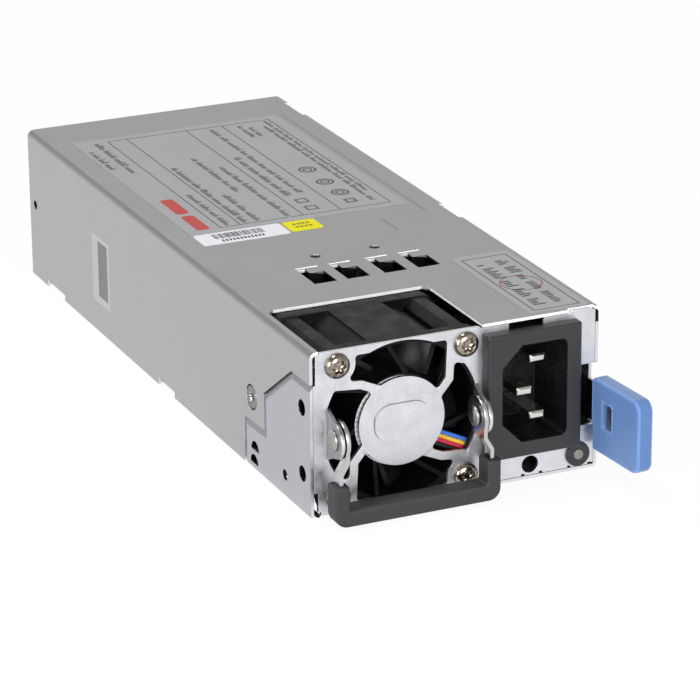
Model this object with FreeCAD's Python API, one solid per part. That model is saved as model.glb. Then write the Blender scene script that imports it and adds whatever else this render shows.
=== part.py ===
import FreeCAD, Part
import math
import os

from FreeCAD import Vector

# Hot swap server power supply, in millimetres.
# Origin: centre of the case's underside. -Y is the front, with fan, inlet and handle. +Z is up.

# ---------------------------------------------------------------- driving sizes
case_width = 73.5
case_height = 40.0
case_length = 185.0

cover_sheet = 0.8           # top cover: roof and outer sides
chassis_sheet = 0.8         # base tray
panel_sheet = 0.9           # front panel and fan guard
rear_sheet = 0.8
cover_bend = 1.8            # outside radii of the bends
chassis_bend = 1.2
panel_bend = 1.3
sheet_gap = 0.1             # between sheets that slide together
hole_gap = 0.05             # radial, between a screw or rivet and its hole

# chassis walls: high at both ends, low between
wall_high = 36.0
wall_low = 14.0
wall_front_zone = 45.0      # length of the high wall behind the front
wall_rear_zone = 14.0

# fan
fan_size = 40.0
fan_depth = 28.0
fan_side_gap = 0.25         # fan to the panel's side flange
fan_corner = 3.0
fan_hole_inset = 4.0        # screw holes from the fan's sides
fan_hole_radius = 2.1
fan_wall = 1.2              # least wall round the bore
fan_flange = 3.5            # thickness of each square flange
fan_duct_wall = 1.5         # round duct between the flanges
fan_boss_radius = 3.6
fan_pocket_start = 6.8      # from the fan's axis
fan_base_radius = 11.0
fan_base_thickness = 2.0
fan_base_set_back = 0.6     # from the fan's front face
fan_struts = 7
fan_strut_width = 1.1
fan_strut_start = 77.0      # degrees, the first strut at the motor base
fan_strut_sweep = 22.0      # degrees that a strut leans on its way out
bearing_radius = 3.4
bearing_length = 14.0
shaft_radius = 1.5
shaft_play = 0.03           # radial, shaft in bearing
stator_radius = 8.6
stator_length = 9.0
pole_reach = 0.9            # of the stator's radius
pole_width = 0.9            # of the stator's radius, across a pole
rotor_base_gap = 0.7        # hub rim to motor base
hub_radius = 10.3
hub_wall = 0.9
rotor_length = 21.5
blade_count = 5
blade_tip_gap = 0.5
blade_thickness = 0.9
blade_set_back = 2.6        # blades start behind the hub's rim
blade_length = 17.0         # along the axis
blade_angle = 36.0          # degrees from the axis to the chord
blade_camber = 1.6

# fan leads, side by side from the motor base out through the frame and back to the board
lead_radius = 0.5
lead_sides = 6
lead_pitch = 1.1
lead_count = 4
lead_height = -5.4          # the first one, from the fan's axis
lead_fall = 5.0             # from the motor base to the frame's side
lead_side = 1.5             # beside the fan's frame
lead_bend = 2.2
lead_slot_play = 0.4

# front panel
panel_lug_length = 10.0
panel_lugs = ((-1, (12.2, 22.8)), (1, (27.5, 36.0)))
panel_fan_drop = 0.4        # top edge of the fan's side below the case's top
panel_foot = 0.3
panel_edge_notches = ((1.0, (1.0, 6.0)), (0.6, (31.9, 40.0)))    # width, then heights
rim_notch = (-5.3, 3.6)     # from the bezel's centre
foot_notches = (-1.8, 2.8, 10.2, 15.4)
foot_notch_width = 0.8
foot_notch_height = 0.5
roof_tab = (10.1, 16.6)     # raised end of the panel's top edge, from the bezel's centre
roof_tab_height = 0.5
roof_tab_corner = 1.1
roof_tab_gap = 0.1

# fan guard, stamped in the front panel
guard_round_margin = 0.6    # round windows beyond the fan's bore
guard_rim = 2.3             # above and below the top and bottom windows
guard_side_rim = 5.0        # beside them
guard_window_corner = 2.5
guard_corner = 0.9          # inside corners at the spokes
guard_boss_radius = 4.6
guard_disc_radius = 10.7
guard_spoke = 2.0
guard_stadium = (13.8, 9.0)
guard_stadium_corner = 4.0
guard_stadium_rise = 0.35
spoke_long_root = (-4.0, -4.7)              # from a screw's place
spoke_long = ((-10.1, 10.4), (-5.5, 8.4))   # the rest, from the fan's centre, out to in
spoke_short_root = (-3.6, 2.5)
spoke_short = ((11.9, 8.2), (8.4, 4.0))

# mains inlet, turned so that its long side is upright
bezel_width = 24.0
bezel_height = 30.6
bezel_stand = 3.2           # in front of the panel
bezel_corner = 0.4
bezel_gap = 0.2             # from the fan's side
bezel_top_gap = 2.25        # below the case's top
socket_width = 16.5
socket_height = 23.6
socket_shift = (-0.05, 0.25)
socket_chamfer = 5.0
socket_corner = 1.5
socket_depth = 16.5
inlet_wall = 1.6
inlet_rear = 18.0           # back of the housing, behind the panel's face
blade_pin = (4.0, 2.0)
pin_pitch = 14.0
pin_offset = 2.0            # line and neutral to one side, earth to the other
pin_set_back = 2.7          # tips of line and neutral below the bezel's face
earth_set_back = 1.2
pin_bevel = 0.5
pin_tail = 4.0              # behind the housing
inlet_board_thickness = 1.6
inlet_board_margin = 2.0

# status indicator, below the inlet's right corner
led_offset = (12.7, -18.35)  # from the inlet bezel's centre
led_ring_radius = 3.0
led_ring_stand = 0.7
led_body_radius = 2.5
led_body_length = 7.0
led_lens_radius = 1.25
led_lens_stand = 0.35

# retainer hole in the panel
retainer_hole_radius = 2.1
retainer_hole_offset = (0.4, -18.85)

# handle
pivot_stand = 4.2           # pivot axis in front of the panel's face
ear_inset = 1.2             # ear's outer face inside the fan's side
ear_radius = 4.3
ear_base = 12.0
ear_bend = 0.5              # inside radius
arm_gap_side = 0.3          # ear to arm
arm_sheet = 1.0
arm_disc_radius = 4.6
arm_width = 3.0
arm_centre = 2.55           # strip's middle, in front of the pivot
arm_joggle = 1.65           # outward step of the arms
joggle_start = 4.4          # below the pivot
joggle_end = 7.2
rivet_radius = 1.25
rivet_head_radius = 2.5
rivet_head = 0.8
grip_margin = 0.6           # beyond the fan's sides
grip_limb = 3.5
grip_limb_top = 10.4
grip_bottom = 0.5
grip_bar = 4.2
grip_front = 9.5            # in front of the panel's face
grip_back = 4.0
grip_corner = 3.0
grip_edge = 0.5
bail_strip_height = 2.1     # of the hidden crossbar, above the underside

# latch
latch_gap = 0.3             # arm to chassis wall
latch_sheet = 0.8
latch_low = 12.0
latch_height = 10.0
latch_root = 48.0           # bending line behind the panel's face
latch_split = 0.15          # each side of the bending line
latch_splay = 4.0           # degrees, outward, in front of the panel
latch_reach = 15.0          # arm in front of the panel
latch_anchor_length = 12.0
hook_length = 5.0
hook_height = 2.0
catch_start = 20.0
catch_peak = 10.4
catch_end = 9.4
catch_proud = 1.4           # beyond the case's side
catch_low = 14.0
catch_height = 7.0
latch_window_low = 10.9
latch_window_high = 26.0
latch_window_left = 3.65    # from the chassis wall's inner face
latch_wall_notch = 3.0
tab_front = 21.5
tab_back = 1.8
tab_low = 5.5
tab_high = 23.3
tab_thickness = 4.0
tab_inset = 0.6             # tab's inner face to the arm's inner face
tab_corner = 2.8
tab_pocket = ((-10.3, -6.5), (12.3, 18.5))

# top cover details, measured from the front panel's face
cutout_gap = 0.3            # around the fan
cutout_side_gap = 0.5
cutout_chamfer = 1.6
louver_centres = (-14.1, -5.6, 4.0, 12.7)
louver_width = 5.7
louver_span = (41.3, 51.7)
louver_tab_width = 3.7
louver_tab_flat = 2.2
louver_tab_drop = 5.0
louver_line = (52.5, 53.0)
louver_line_depth = 0.2
roof_holes = ((-8.8, 59.4), (6.7, 59.4))
roof_hole_radius = 1.3
side_hole = (4.3, 20.4)     # from the rear
side_hole_radius = 1.15
side_notch_front = (82.6, 93.0)
side_notch_rear = (25.0, 12.0)      # from the rear
side_notch_height = 2.0
frame_outer = ((126.0, 138.0), (8.0, 26.0))
frame_inner = ((128.5, 135.0), (9.5, 24.5))
frame_depth = 0.45
step_outline = ((0.0, 32.2), (10.2, 32.2), (26.5, 21.0), (26.5, 12.0), (38.4, 11.5), (38.4, 0.0))
bend_notch_front = (70.5, 82.0)
bend_notch_rear = (19.0, 7.0)       # from the rear
bend_notch_depth = 2.0
bend_notch_height = 3.0

# bracket: front end of the left chassis wall, joggled out flush with the cover
joggle_gap = 0.3            # to the cover's stepped edge
joggle_slope = 1.3
joggle_low = 0.3
bracket_hole_y = 4.5
bracket_hole_z = (9.5, 25.5)
bracket_hole_radius = 1.9
bracket_small_hole = (14.5, 5.4, 1.3)
moon_lances = ((32.0, 4.9), (32.6, 1.4))
moon_radius = 2.3

# screws
screw_head_radius = 3.0
screw_head_height = 2.3
fan_screw_shank = 1.95
fan_screw_length = 9.0
flat_head_radius = 3.0
flat_shank_radius = 1.4
flat_shank_length = 3.2
cover_screw_y = 33.6
cover_screw_z = 17.7

# main board
board_height = 4.0          # underside above the case's underside
board_thickness = 1.6
board_front = 32.0
board_tongue = ((8.4, 27.0), 10.0)
board_side_gap = 0.5
card_edge_half = 27.5
card_edge_reach = 8.5       # beyond the case's rear
finger_count = 20
finger_length = 6.5
finger_thickness = 0.05
finger_fill = 0.7
insulator_thickness = 0.3
support_post = 5.0
support_neck = 2.6
support_head = 3.4
support_head_height = 1.2
support_inset = 5.15        # from the chassis walls
support_front = (40.0, 62.0)        # left and right one, behind the panel's face
support_rear = (35.0, 17.0)         # left and right one, from the rear

# rear plate
rear_slot = (3.2, 11.0)
rear_slot_rows = (11.5, 25.5)
rear_slot_count = 10
rear_slot_margin = 4.15     # from the chassis walls
card_slot_gap = 1.0

# what the board carries: X and Y places from the case's centreline and the panel's face, then heights
fan_connector_size = (5.4, 6.0)
choke_margin = 14.65        # choke's middle from the right chassis wall
choke_y = 46.0
choke_frame = (17.0, 18.0)
choke_depth = 5.0
choke_leg = 4.0
choke_winding = 1.6
x_cap_size = (6.0, 18.0)
x_cap_place = (6.0, 51.0)
x_cap_height = 16.0
fuse_place = (-14.0, 40.0)
fuse_radius = 2.6
fuse_length = 20.0
wall_margin = 4.15          # from a chassis wall to what stands beside it
pfc_choke_size = (24.0, 22.0)
pfc_choke_start = 48.0
pfc_choke_height = 20.0
bulk_radius = 14.5
bulk_length = 46.0
bulk_place = (-17.0, 78.0)
sink_margin = 3.15          # from a chassis wall
sink_primary_width = 28.0
sink_primary_start = 68.0
sink_primary_height = 28.0
sink_coil_gap = 4.0
sink_secondary_size = (26.0, 26.0)
sink_secondary_height = 24.0
sink_rear_gap = 7.0
sink_base = 3.0
sink_fin = 1.2
sink_fins = 7
core_size = (30.0, 22.0, 26.0)
core_leg = 6.0
core_x = 14.0
core_rear = 67.0            # from the rear
coil_margin = 0.4
coil_reach = 5.0
out_cap_radius = 6.5
out_cap_height = 20.0
out_cap_x = (8.0, 24.0)
out_cap_rear = 33.0         # from the rear
control_margin = 2.15       # from the chassis wall
control_thickness = 1.6
control_gaps = (1.0, 5.5)   # to the bulk capacitor and to the sink behind
control_height = 28.0

facets = 8                  # sides of a hidden shank
can_facets = 16             # sides of the cans and the fuse on the board
past = 1.0                  # how far a cutter runs past the face that it opens

# ---------------------------------------------------------------- places that follow
side = case_width / 2
front = -case_length / 2
rear = case_length / 2
top = case_height
roof = top - cover_sheet
wall_out = side - cover_sheet
wall_in = wall_out - chassis_sheet

fan_x = -wall_in + panel_sheet + fan_side_gap + fan_size / 2
fan_z = case_height / 2
fan_bore_radius = fan_size / 2 - fan_wall
fan_duct_radius = fan_bore_radius + fan_duct_wall
fan_hole_pitch = fan_size - 2 * fan_hole_inset
ear_outer = fan_size / 2 - ear_inset
grip_half_width = fan_size / 2 + grip_margin
fan_front = front + panel_sheet
fan_rear = fan_front + fan_depth
fan_base_front = fan_front + fan_base_set_back
fan_base_back = fan_base_front + fan_base_thickness
rotor_front = fan_base_back + rotor_base_gap
rotor_back = rotor_front + rotor_length

bezel_x = fan_x + fan_size / 2 + bezel_gap + bezel_width / 2
bezel_z = top - bezel_top_gap - bezel_height / 2
socket_x = bezel_x + socket_shift[0]
socket_z = bezel_z + socket_shift[1]
inlet_face = front - bezel_stand
socket_floor = inlet_face + socket_depth
inlet_back = front + inlet_rear

pivot_y = front - pivot_stand
pivot_z = fan_z

arm_outer = ear_outer - panel_sheet - arm_gap_side
latch_face = wall_in - latch_gap
latch_y = front + latch_root
board_top = board_height + board_thickness
core_place = (core_x, case_length - core_rear)
choke_x = wall_in - choke_margin
X = Vector(1, 0, 0)
Y = Vector(0, 1, 0)
Z = Vector(0, 0, 1)


# ---------------------------------------------------------------- shared shapes
def block(x, y, z):
    """Box between three (low, high) pairs."""
    corner = Vector(x[0], y[0], z[0])
    return Part.makeBox(x[1] - x[0], y[1] - y[0], z[1] - z[0], corner)


def rod(x, y, z, axis, radius, length):
    """Cylinder from a point along an axis."""
    return Part.makeCylinder(radius, length, Vector(x, y, z), axis)


def prism(points, plane, span):
    """Closed outline of straight lines, drawn through a span square to its plane."""
    low, high = span
    if plane == "XY":
        corners = [Vector(a, b, low) for a, b in points]
        draw = Z * (high - low)
    elif plane == "XZ":
        corners = [Vector(a, low, b) for a, b in points]
        draw = Y * (high - low)
    else:
        corners = [Vector(low, a, b) for a, b in points]
        draw = X * (high - low)
    wire = Part.makePolygon(corners + corners[:1])
    return Part.Face(wire).extrude(draw)


def edges_along(solid, axis):
    """Straight edges that run along an axis."""
    found = []
    for edge in solid.Edges:
        ends = [vertex.Point for vertex in edge.Vertexes]
        if len(ends) == 2 and isinstance(edge.Curve, Part.Line):
            run = (ends[1] - ends[0]).normalize()
            if abs(run.dot(axis)) > math.cos(math.radians(1)):
                found.append(edge)
    return found


def rim_edges(solid, axis, place):
    """Edges whose middle lies at a place along "x", "y" or "z", leaving out a cylinder's seam."""
    return [edge for edge in solid.Edges if abs(getattr(edge.CenterOfMass, axis) - place) < hole_gap]


def facet_rod(a, b, plane, span, radius, sides=0):
    """Many-sided rod square to a plane, for hidden shanks and holes; the radius is that of its flats."""
    sides = sides or facets
    step = 360 / sides
    reach = radius / math.cos(math.radians(step / 2))
    corners = [turned([(reach, 0)], (i + 1 / 2) * step)[0] for i in range(sides)]
    return prism([(a + c, b + d) for c, d in corners], plane, span)


def rounded_block(x, y, z, axis, radius):
    """Box with its four edges along an axis rounded."""
    solid = block(x, y, z)
    return solid.makeFillet(radius, edges_along(solid, axis))


def channel(half_width, height, sheet, bend, opens):
    """Bent sheet of the case's length: a base and two sides, open downwards (-1) or upwards (+1)."""
    outer = block((-half_width, half_width), (front, rear), (0, height))
    inner_z = (-past, height - sheet) if opens < 0 else (sheet, height + past)
    inner = block((sheet - half_width, half_width - sheet), (front - past, rear + past), inner_z)
    base_z = height if opens < 0 else 0
    outer_bends = [edge for edge in edges_along(outer, Y) if abs(edge.CenterOfMass.z - base_z) < sheet]
    inner_base = inner_z[1] if opens < 0 else inner_z[0]
    inner_bends = [edge for edge in edges_along(inner, Y) if abs(edge.CenterOfMass.z - inner_base) < sheet]
    return outer.makeFillet(bend, outer_bends).cut(inner.makeFillet(bend - sheet, inner_bends))


def ribbon(path, thickness):
    """Outline of a strip of even thickness about a path, with mitred bends."""
    left, right = [], []
    last = len(path) - 1
    for i, (a, b) in enumerate(path):
        before = path[max(i - 1, 0)]
        after = path[min(i + 1, last)]
        into = unit(a - before[0], b - before[1]) if i > 0 else unit(after[0] - a, after[1] - b)
        out = unit(after[0] - a, after[1] - b) if i < last else into
        normal = unit(-into[1] - out[1], into[0] + out[0])
        reach = thickness / 2 / (normal[0] * -into[1] + normal[1] * into[0])
        left.append((a + normal[0] * reach, b + normal[1] * reach))
        right.append((a - normal[0] * reach, b - normal[1] * reach))
    return left + right[::-1]


def unit(a, b):
    """Direction of a plane vector."""
    length = math.hypot(a, b)
    return a / length, b / length


def turned(points, angle):
    """Plane points turned about their origin, in degrees."""
    c, s = math.cos(math.radians(angle)), math.sin(math.radians(angle))
    return [(a * c - b * s, a * s + b * c) for a, b in points]


def at_fan(points):
    """Points given from the fan's centre, in the case's X and Z."""
    return [(fan_x + a, fan_z + b) for a, b in points]


def fan_corners(offset):
    """The four places at an equal distance from the fan's axis, in X and Z."""
    return [(fan_x + a * offset, fan_z + b * offset) for a in (-1, 1) for b in (-1, 1)]


# ---------------------------------------------------------------- case
def fan_cutout(z):
    """Cutter over or under the fan, with its two rear corners chamfered."""
    left = fan_x - fan_size / 2 - cutout_side_gap
    right = fan_x + fan_size / 2 + cutout_gap
    back = fan_rear + cutout_gap
    outline = [(left, front - past), (right, front - past), (right, back - cutout_chamfer),
               (right - cutout_chamfer, back), (left + cutout_chamfer, back),
               (left, back - cutout_chamfer)]
    return prism(outline, "XY", z)


def louver(centre):
    """One louver: its opening, its bent tab and the pressed line behind it."""
    x = (centre - louver_width / 2, centre + louver_width / 2)
    y0, y1 = front + louver_span[0], front + louver_span[1]
    opening = block(x, (y0, y1), (roof - past, top + past))
    middle = roof + cover_sheet / 2
    bend_y = y1 - louver_tab_flat
    path = [(y1 + cover_sheet, middle), (bend_y, middle), (bend_y, middle - louver_tab_drop)]
    tab = prism(ribbon(path, cover_sheet), "YZ", (x[1] - louver_tab_width, x[1]))
    line_y = (front + louver_line[0], front + louver_line[1])
    line = block(x, line_y, (top - louver_line_depth, top + past))
    return opening, tab, line


def step_cutter(x):
    """The stepped opening at the front of a cover side, which leaves the bracket bare."""
    outline = [(front + y, z) for y, z in step_outline]
    outline = [(front - past, step_outline[0][1])] + outline[1:-1]
    outline += [(front + step_outline[-1][0], -past), (front - past, -past)]
    return prism(outline, "YZ", x)


def pressed_frame():
    """Sloped recess in the left side, as a cutter."""
    def loop(x, y, z):
        corners = [Vector(x, front + a, b) for a, b in
                   ((y[0], z[0]), (y[1], z[0]), (y[1], z[1]), (y[0], z[1]))]
        return Part.makePolygon(corners + corners[:1])
    return Part.makeLoft([loop(-side, *frame_outer), loop(-side + frame_depth, *frame_inner)], True, True)


def flat_screw(gap):
    """Flush screw in the cover's left side, or its hole when a gap is given."""
    y = front + cover_screw_y
    head = rod(-side, y, cover_screw_z, X, flat_head_radius + gap, cover_sheet)
    shank_x = (-wall_out - hole_gap, flat_shank_length - wall_out)
    shank = facet_rod(y, cover_screw_z, "YZ", shank_x, flat_shank_radius + gap)
    return head.fuse(shank).removeSplitter()


def spans_along(from_front, from_rear):
    """Y spans of two notches: one given from the front, one from the rear."""
    return [(front + from_front[0], front + from_front[1]), (rear - from_rear[0], rear - from_rear[1])]


def top_cover():
    """Inverted channel with the fan cut-out, louvers, stepped fronts, notches and screw holes."""
    shell = channel(side, top, cover_sheet, cover_bend, -1)
    cuts = [fan_cutout((roof - past, top + past))]
    tabs = []
    for centre in louver_centres:
        opening, tab, line = louver(centre)
        cuts += [opening, line]
        tabs.append(tab)
    for x, y in roof_holes:
        cuts.append(rod(x, front + y, roof - past, Z, roof_hole_radius, cover_sheet + 2 * past))
    for sign in (-1, 1):
        through = sorted((sign * (wall_out - past / 2), sign * (side + past)))
        cuts.append(step_cutter(through))
        for span in spans_along(side_notch_front, side_notch_rear):
            cuts.append(block(through, span, (-past, side_notch_height)))
    cuts.append(flat_screw(hole_gap))
    cuts.append(rod(-side, rear - side_hole[0], side_hole[1], X, side_hole_radius, cover_sheet + sheet_gap))
    cuts.append(pressed_frame())
    notch = ((side - bend_notch_depth, side + past), (top - bend_notch_height, top + past))
    for span in spans_along(bend_notch_front, bend_notch_rear):
        cuts.append(block(notch[0], span, notch[1]))
    tab_x = (bezel_x + roof_tab[0] - roof_tab_gap, bezel_x + roof_tab[1] + roof_tab_gap)
    tab_y = (front - past, front + panel_sheet + roof_tab_gap)
    cuts.append(block(tab_x, tab_y, (roof - past, top + past)))
    return shell.cut(cuts).fuse(tabs).removeSplitter()


def base_chassis():
    """Tray with a floor and two stepped walls; its front ends are the brackets that the cover leaves bare."""
    shell = channel(wall_out, wall_high, chassis_sheet, chassis_bend, 1)
    shell = shell.fuse(bracket_joggle(-wall_out, joggle_low, front))
    low_y = (front + wall_front_zone, rear - wall_rear_zone)
    cuts = [block((-side, side), low_y, (wall_low, top)), fan_cutout((-past, chassis_sheet + past))]
    cuts.append(bracket_joggle(-wall_in, chassis_sheet + joggle_low, front - past))
    mouth = (front - past, front + panel_sheet + sheet_gap)
    cuts.append(block((-wall_out, past - wall_in), mouth, (chassis_bend + sheet_gap, top)))
    through = side - wall_in + past
    for z in bracket_hole_z:
        cuts.append(rod(-side, front + bracket_hole_y, z, X, bracket_hole_radius, through))
    y, z, radius = bracket_small_hole
    cuts.append(rod(-side, front + y, z, X, radius, through))
    for y, z in moon_lances:
        disc = rod(-side, front + y, z, X, moon_radius, through)
        lower = block((-side, through - side), (front + y - moon_radius, front + y + moon_radius),
                      (z - moon_radius, z))
        cuts.append(disc.cut(lower))
    cuts.append(flat_screw(hole_gap))
    right_wall = (wall_in - past, side)
    notch = (front - past, front + latch_wall_notch)
    cuts.append(block(right_wall, notch, (latch_window_low, latch_window_high)))
    margin = latch_gap + chassis_sheet
    window_y = (front + catch_end - margin, front + catch_start + margin)
    window_z = (catch_low - margin, catch_low + catch_height + margin)
    cuts.append(block(right_wall, window_y, window_z))
    for y, z in anchor_hooks():
        slot = [(a - hole_gap, b + hole_gap) for a, b in (y, z)]
        cuts.append(block(right_wall, *slot))
    return shell.cut(cuts).removeSplitter()


def bracket_joggle(x, low, start):
    """Raised field with sloped borders, one sheet thick, that follows the cover's stepped edge."""
    path = [(front + y, z) for y, z in step_outline]
    path = [(start, step_outline[0][1])] + path[1:-1] + [(front + step_outline[-1][0], low)]

    def loop(place, inset):
        inner = ribbon(path, 2 * inset)[len(path):][::-1]
        inner = [(start, inner[0][1])] + inner[1:-1] + [(inner[-1][0], low), (start, low)]
        corners = [Vector(place, y, z) for y, z in inner]
        return Part.makePolygon(corners + corners[:1])
    return Part.makeLoft([loop(x, joggle_gap), loop(x - cover_sheet, joggle_gap + joggle_slope)], True, True)


def anchor_hooks():
    """Y and Z spans of the two hooks that hold the latch's anchor in the chassis wall."""
    y0 = latch_y + latch_anchor_length / 2
    y = (y0 - hook_length / 2, y0 + hook_length / 2)
    middle = latch_low + latch_height / 2
    return [(y, (z - hook_height / 2, z + hook_height / 2))
            for z in (middle - latch_height / 4, middle + latch_height / 4)]


# ---------------------------------------------------------------- front panel
def guard_openings():
    """The fan guard's four windows: everything open but its bosses, spokes and centre disc."""
    y = (front - past, front + panel_sheet + past)
    depth = y[1] - y[0]
    round_part = rod(fan_x, y[0], fan_z, Y, fan_bore_radius + guard_round_margin, depth)
    half_w, half_h = fan_size / 2 - guard_side_rim, fan_size / 2 - guard_rim
    square_part = rounded_block((fan_x - half_w, fan_x + half_w), y, (fan_z - half_h, fan_z + half_h),
                                Y, guard_window_corner)
    solid = [rod(fan_x, y[0], fan_z, Y, guard_disc_radius, depth)]
    for x, z in fan_corners(fan_hole_pitch / 2):
        solid.append(rod(x, y[0], z, Y, guard_boss_radius, depth))
    half_pitch = fan_hole_pitch / 2
    long_root = (-half_pitch + spoke_long_root[0], half_pitch + spoke_long_root[1])
    short_root = (half_pitch + spoke_short_root[0], half_pitch + spoke_short_root[1])
    for spoke in ((long_root,) + spoke_long, (short_root,) + spoke_short):
        for angle in (0, 180):
            outline = at_fan(turned(ribbon(spoke, guard_spoke), angle))
            solid.append(prism(outline, "XZ", y))
    windows = round_part.fuse(square_part).cut(solid).removeSplitter()
    rounded = []
    for window in windows.Solids:
        flat = [face for face in window.Faces if abs(face.CenterOfMass.y - y[0]) < hole_gap][0]
        shrunk = flat.makeOffset2D(-guard_corner)
        rounded.append(shrunk.makeOffset2D(guard_corner).extrude(Y * depth))
    return Part.makeCompound(rounded)


def ear(sign):
    """Lug bent forward from the guard's edge, which carries one end of the handle."""
    bend_x = ear_outer + ear_bend
    outer_r = ear_bend + panel_sheet
    z = (pivot_z - ear_base / 2, pivot_z + ear_base / 2)
    centre_y = front - ear_bend
    ring = rod(0, 0, z[0], Z, outer_r, ear_base)
    ring = ring.cut(rod(0, 0, z[0] - past, Z, ear_bend, ear_base + 2 * past))
    quarter = block((-outer_r, 0), (0, outer_r), z)
    bend = ring.common(quarter)
    bend.translate(Vector(bend_x, centre_y, 0))
    tip = pivot_y - ear_radius
    flat_x = (ear_outer - panel_sheet, ear_outer)
    flat = block(flat_x, (tip, centre_y), z)
    outline = [(front + past, z[0]), (front - ear_bend, z[0]), (pivot_y, pivot_z - ear_radius),
               (pivot_y, pivot_z + ear_radius), (front - ear_bend, z[1]), (front + past, z[1])]
    reach_x = (flat_x[0] - past, bend_x + past)
    shape = prism(outline, "YZ", reach_x)
    nose = rod(reach_x[0], pivot_y, pivot_z, X, ear_radius, reach_x[1] - reach_x[0])
    hole = facet_rod(pivot_y, pivot_z, "YZ", reach_x, rivet_radius + hole_gap)
    root = block((bend_x, bend_x + past), (front, front + panel_sheet), z)
    lug = bend.fuse(flat).common(shape.fuse(nose)).cut(hole).fuse(root)
    if sign < 0:
        lug = lug.mirror(Vector(0, 0, 0), X)
    lug.translate(Vector(fan_x, 0, 0))
    return lug


def panel_flange(sign, z):
    """Lug of the front panel, bent back inside a chassis wall: the bracket's at the left."""
    inner_face = wall_out if sign < 0 else wall_in
    outer = sign * (inner_face - sheet_gap / 2)
    inner = outer - sign * panel_sheet
    return block(sorted((outer, inner)), (front, front + panel_lug_length), z)


def front_panel():
    """One stamped plate: fan guard at the left, inlet surround at the right, ears and side flanges."""
    edge = wall_in - sheet_gap / 2
    left_edge = wall_out - sheet_gap / 2
    split = fan_x + fan_size / 2 + cutout_gap - sheet_gap
    y = (front, front + panel_sheet)
    fan_part = block((-left_edge, split), y, (panel_foot, top - panel_fan_drop))
    corners = [e for e in edges_along(fan_part, Y) if e.CenterOfMass.z > top / 2]
    fan_part = fan_part.makeFillet(panel_bend, corners)
    inlet_part = block((split, edge), y, (chassis_sheet + sheet_gap, roof - sheet_gap))
    tab_top = roof + roof_tab_height
    tab = block((bezel_x + roof_tab[0], bezel_x + roof_tab[1]), y, (roof - past, tab_top))
    tab_ends = [e for e in edges_along(tab, Y) if e.CenterOfMass.z > roof]
    plate = fan_part.fuse([inlet_part, tab.makeFillet(roof_tab_corner, tab_ends)])
    plate = plate.fuse([panel_flange(sign, z) for sign, z in panel_lugs]).removeSplitter()
    through = (front - past, front + panel_sheet + past)
    cuts = [guard_openings()]
    for x, z in fan_corners(fan_hole_pitch / 2):
        cuts.append(facet_rod(x, z, "XZ", through, fan_screw_shank + hole_gap * 2))
    body_x, body_z = inlet_body_spans()
    gap = sheet_gap
    cuts.append(block((body_x[0] - gap, body_x[1] + gap), through, (body_z[0] - gap, body_z[1] + gap)))
    cuts.append(block((bezel_x + rim_notch[0], bezel_x + rim_notch[1]), through,
                      (bezel_z + bezel_height / 2 - past, top)))
    notch_top = chassis_sheet + sheet_gap + foot_notch_height
    for x in foot_notches:
        cuts.append(block((bezel_x + x, bezel_x + x + foot_notch_width), through, (0, notch_top)))
    lx, lz = bezel_x + led_offset[0], bezel_z + led_offset[1]
    cuts.append(facet_rod(lx, lz, "XZ", through, led_body_radius + hole_gap))
    hx, hz = bezel_x + retainer_hole_offset[0], bezel_z + retainer_hole_offset[1]
    cuts.append(rod(hx, through[0], hz, Y, retainer_hole_radius, panel_sheet + 2 * past))
    cuts.append(block((wall_in - latch_window_left, side), through, (latch_window_low, latch_window_high)))
    for width, z in panel_edge_notches:
        cuts.append(block((-side, width - left_edge), through, z))
    for x in ((-side, panel_sheet - wall_in), (wall_in - panel_sheet, side)):
        cuts.append(block(x, through, (0, chassis_bend + sheet_gap)))
        cuts.append(block(x, through, (roof - sheet_gap, top)))
    plate = plate.cut(cuts)
    stadium_x = (fan_x - guard_stadium[0] / 2, fan_x + guard_stadium[0] / 2)
    stadium_z = (fan_z - guard_stadium[1] / 2, fan_z + guard_stadium[1] / 2)
    raised = rounded_block(stadium_x, (front - guard_stadium_rise, front), stadium_z, Y, guard_stadium_corner)
    return plate.fuse([raised, ear(-1), ear(1)]).removeSplitter()


# ---------------------------------------------------------------- fan
def corner_pocket(x, z):
    """Hollow between the flanges, outside the round duct and the corner's screw boss."""
    y = (fan_front + fan_flange, fan_rear - fan_flange)
    reach = fan_size / 2 + past
    corner_x = fan_x + math.copysign(reach, x - fan_x)
    corner_z = fan_z + math.copysign(reach, z - fan_z)
    inner_x = fan_x + math.copysign(fan_pocket_start, x - fan_x)
    inner_z = fan_z + math.copysign(fan_pocket_start, z - fan_z)
    room = block(sorted((inner_x, corner_x)), y, sorted((inner_z, corner_z)))
    duct = rod(fan_x, y[0], fan_z, Y, fan_duct_radius, y[1] - y[0])
    return room.cut([duct, facet_rod(x, z, "XZ", y, fan_boss_radius)])


def fan_frame():
    """Square frame with a round duct, four screw bosses, leaning struts and a motor base."""
    half = fan_size / 2
    y = (fan_front, fan_rear)
    body = rounded_block((fan_x - half, fan_x + half), y, (fan_z - half, fan_z + half), Y, fan_corner)
    cuts = [rod(fan_x, fan_front - past, fan_z, Y, fan_bore_radius, fan_depth + 2 * past)]
    for x, z in fan_corners(fan_hole_pitch / 2):
        cuts.append(facet_rod(x, z, "XZ", (fan_front - past, fan_rear + past), fan_hole_radius))
        cuts.append(corner_pocket(x, z))
    body = body.cut(cuts)
    base = rod(fan_x, fan_base_front, fan_z, Y, fan_base_radius, fan_base_thickness)
    struts = []
    for i in range(fan_struts):
        start = fan_strut_start + i * 360 / fan_struts
        inner = turned([(fan_base_radius - past, 0)], start)[0]
        outer = turned([(fan_bore_radius + past / 2, 0)], start + fan_strut_sweep)[0]
        outline = at_fan(ribbon([inner, outer], fan_strut_width))
        struts.append(prism(outline, "XZ", (fan_base_front, fan_base_back)))
    return body.fuse([base] + struts).cut(lead_slot()).removeSplitter()


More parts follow.
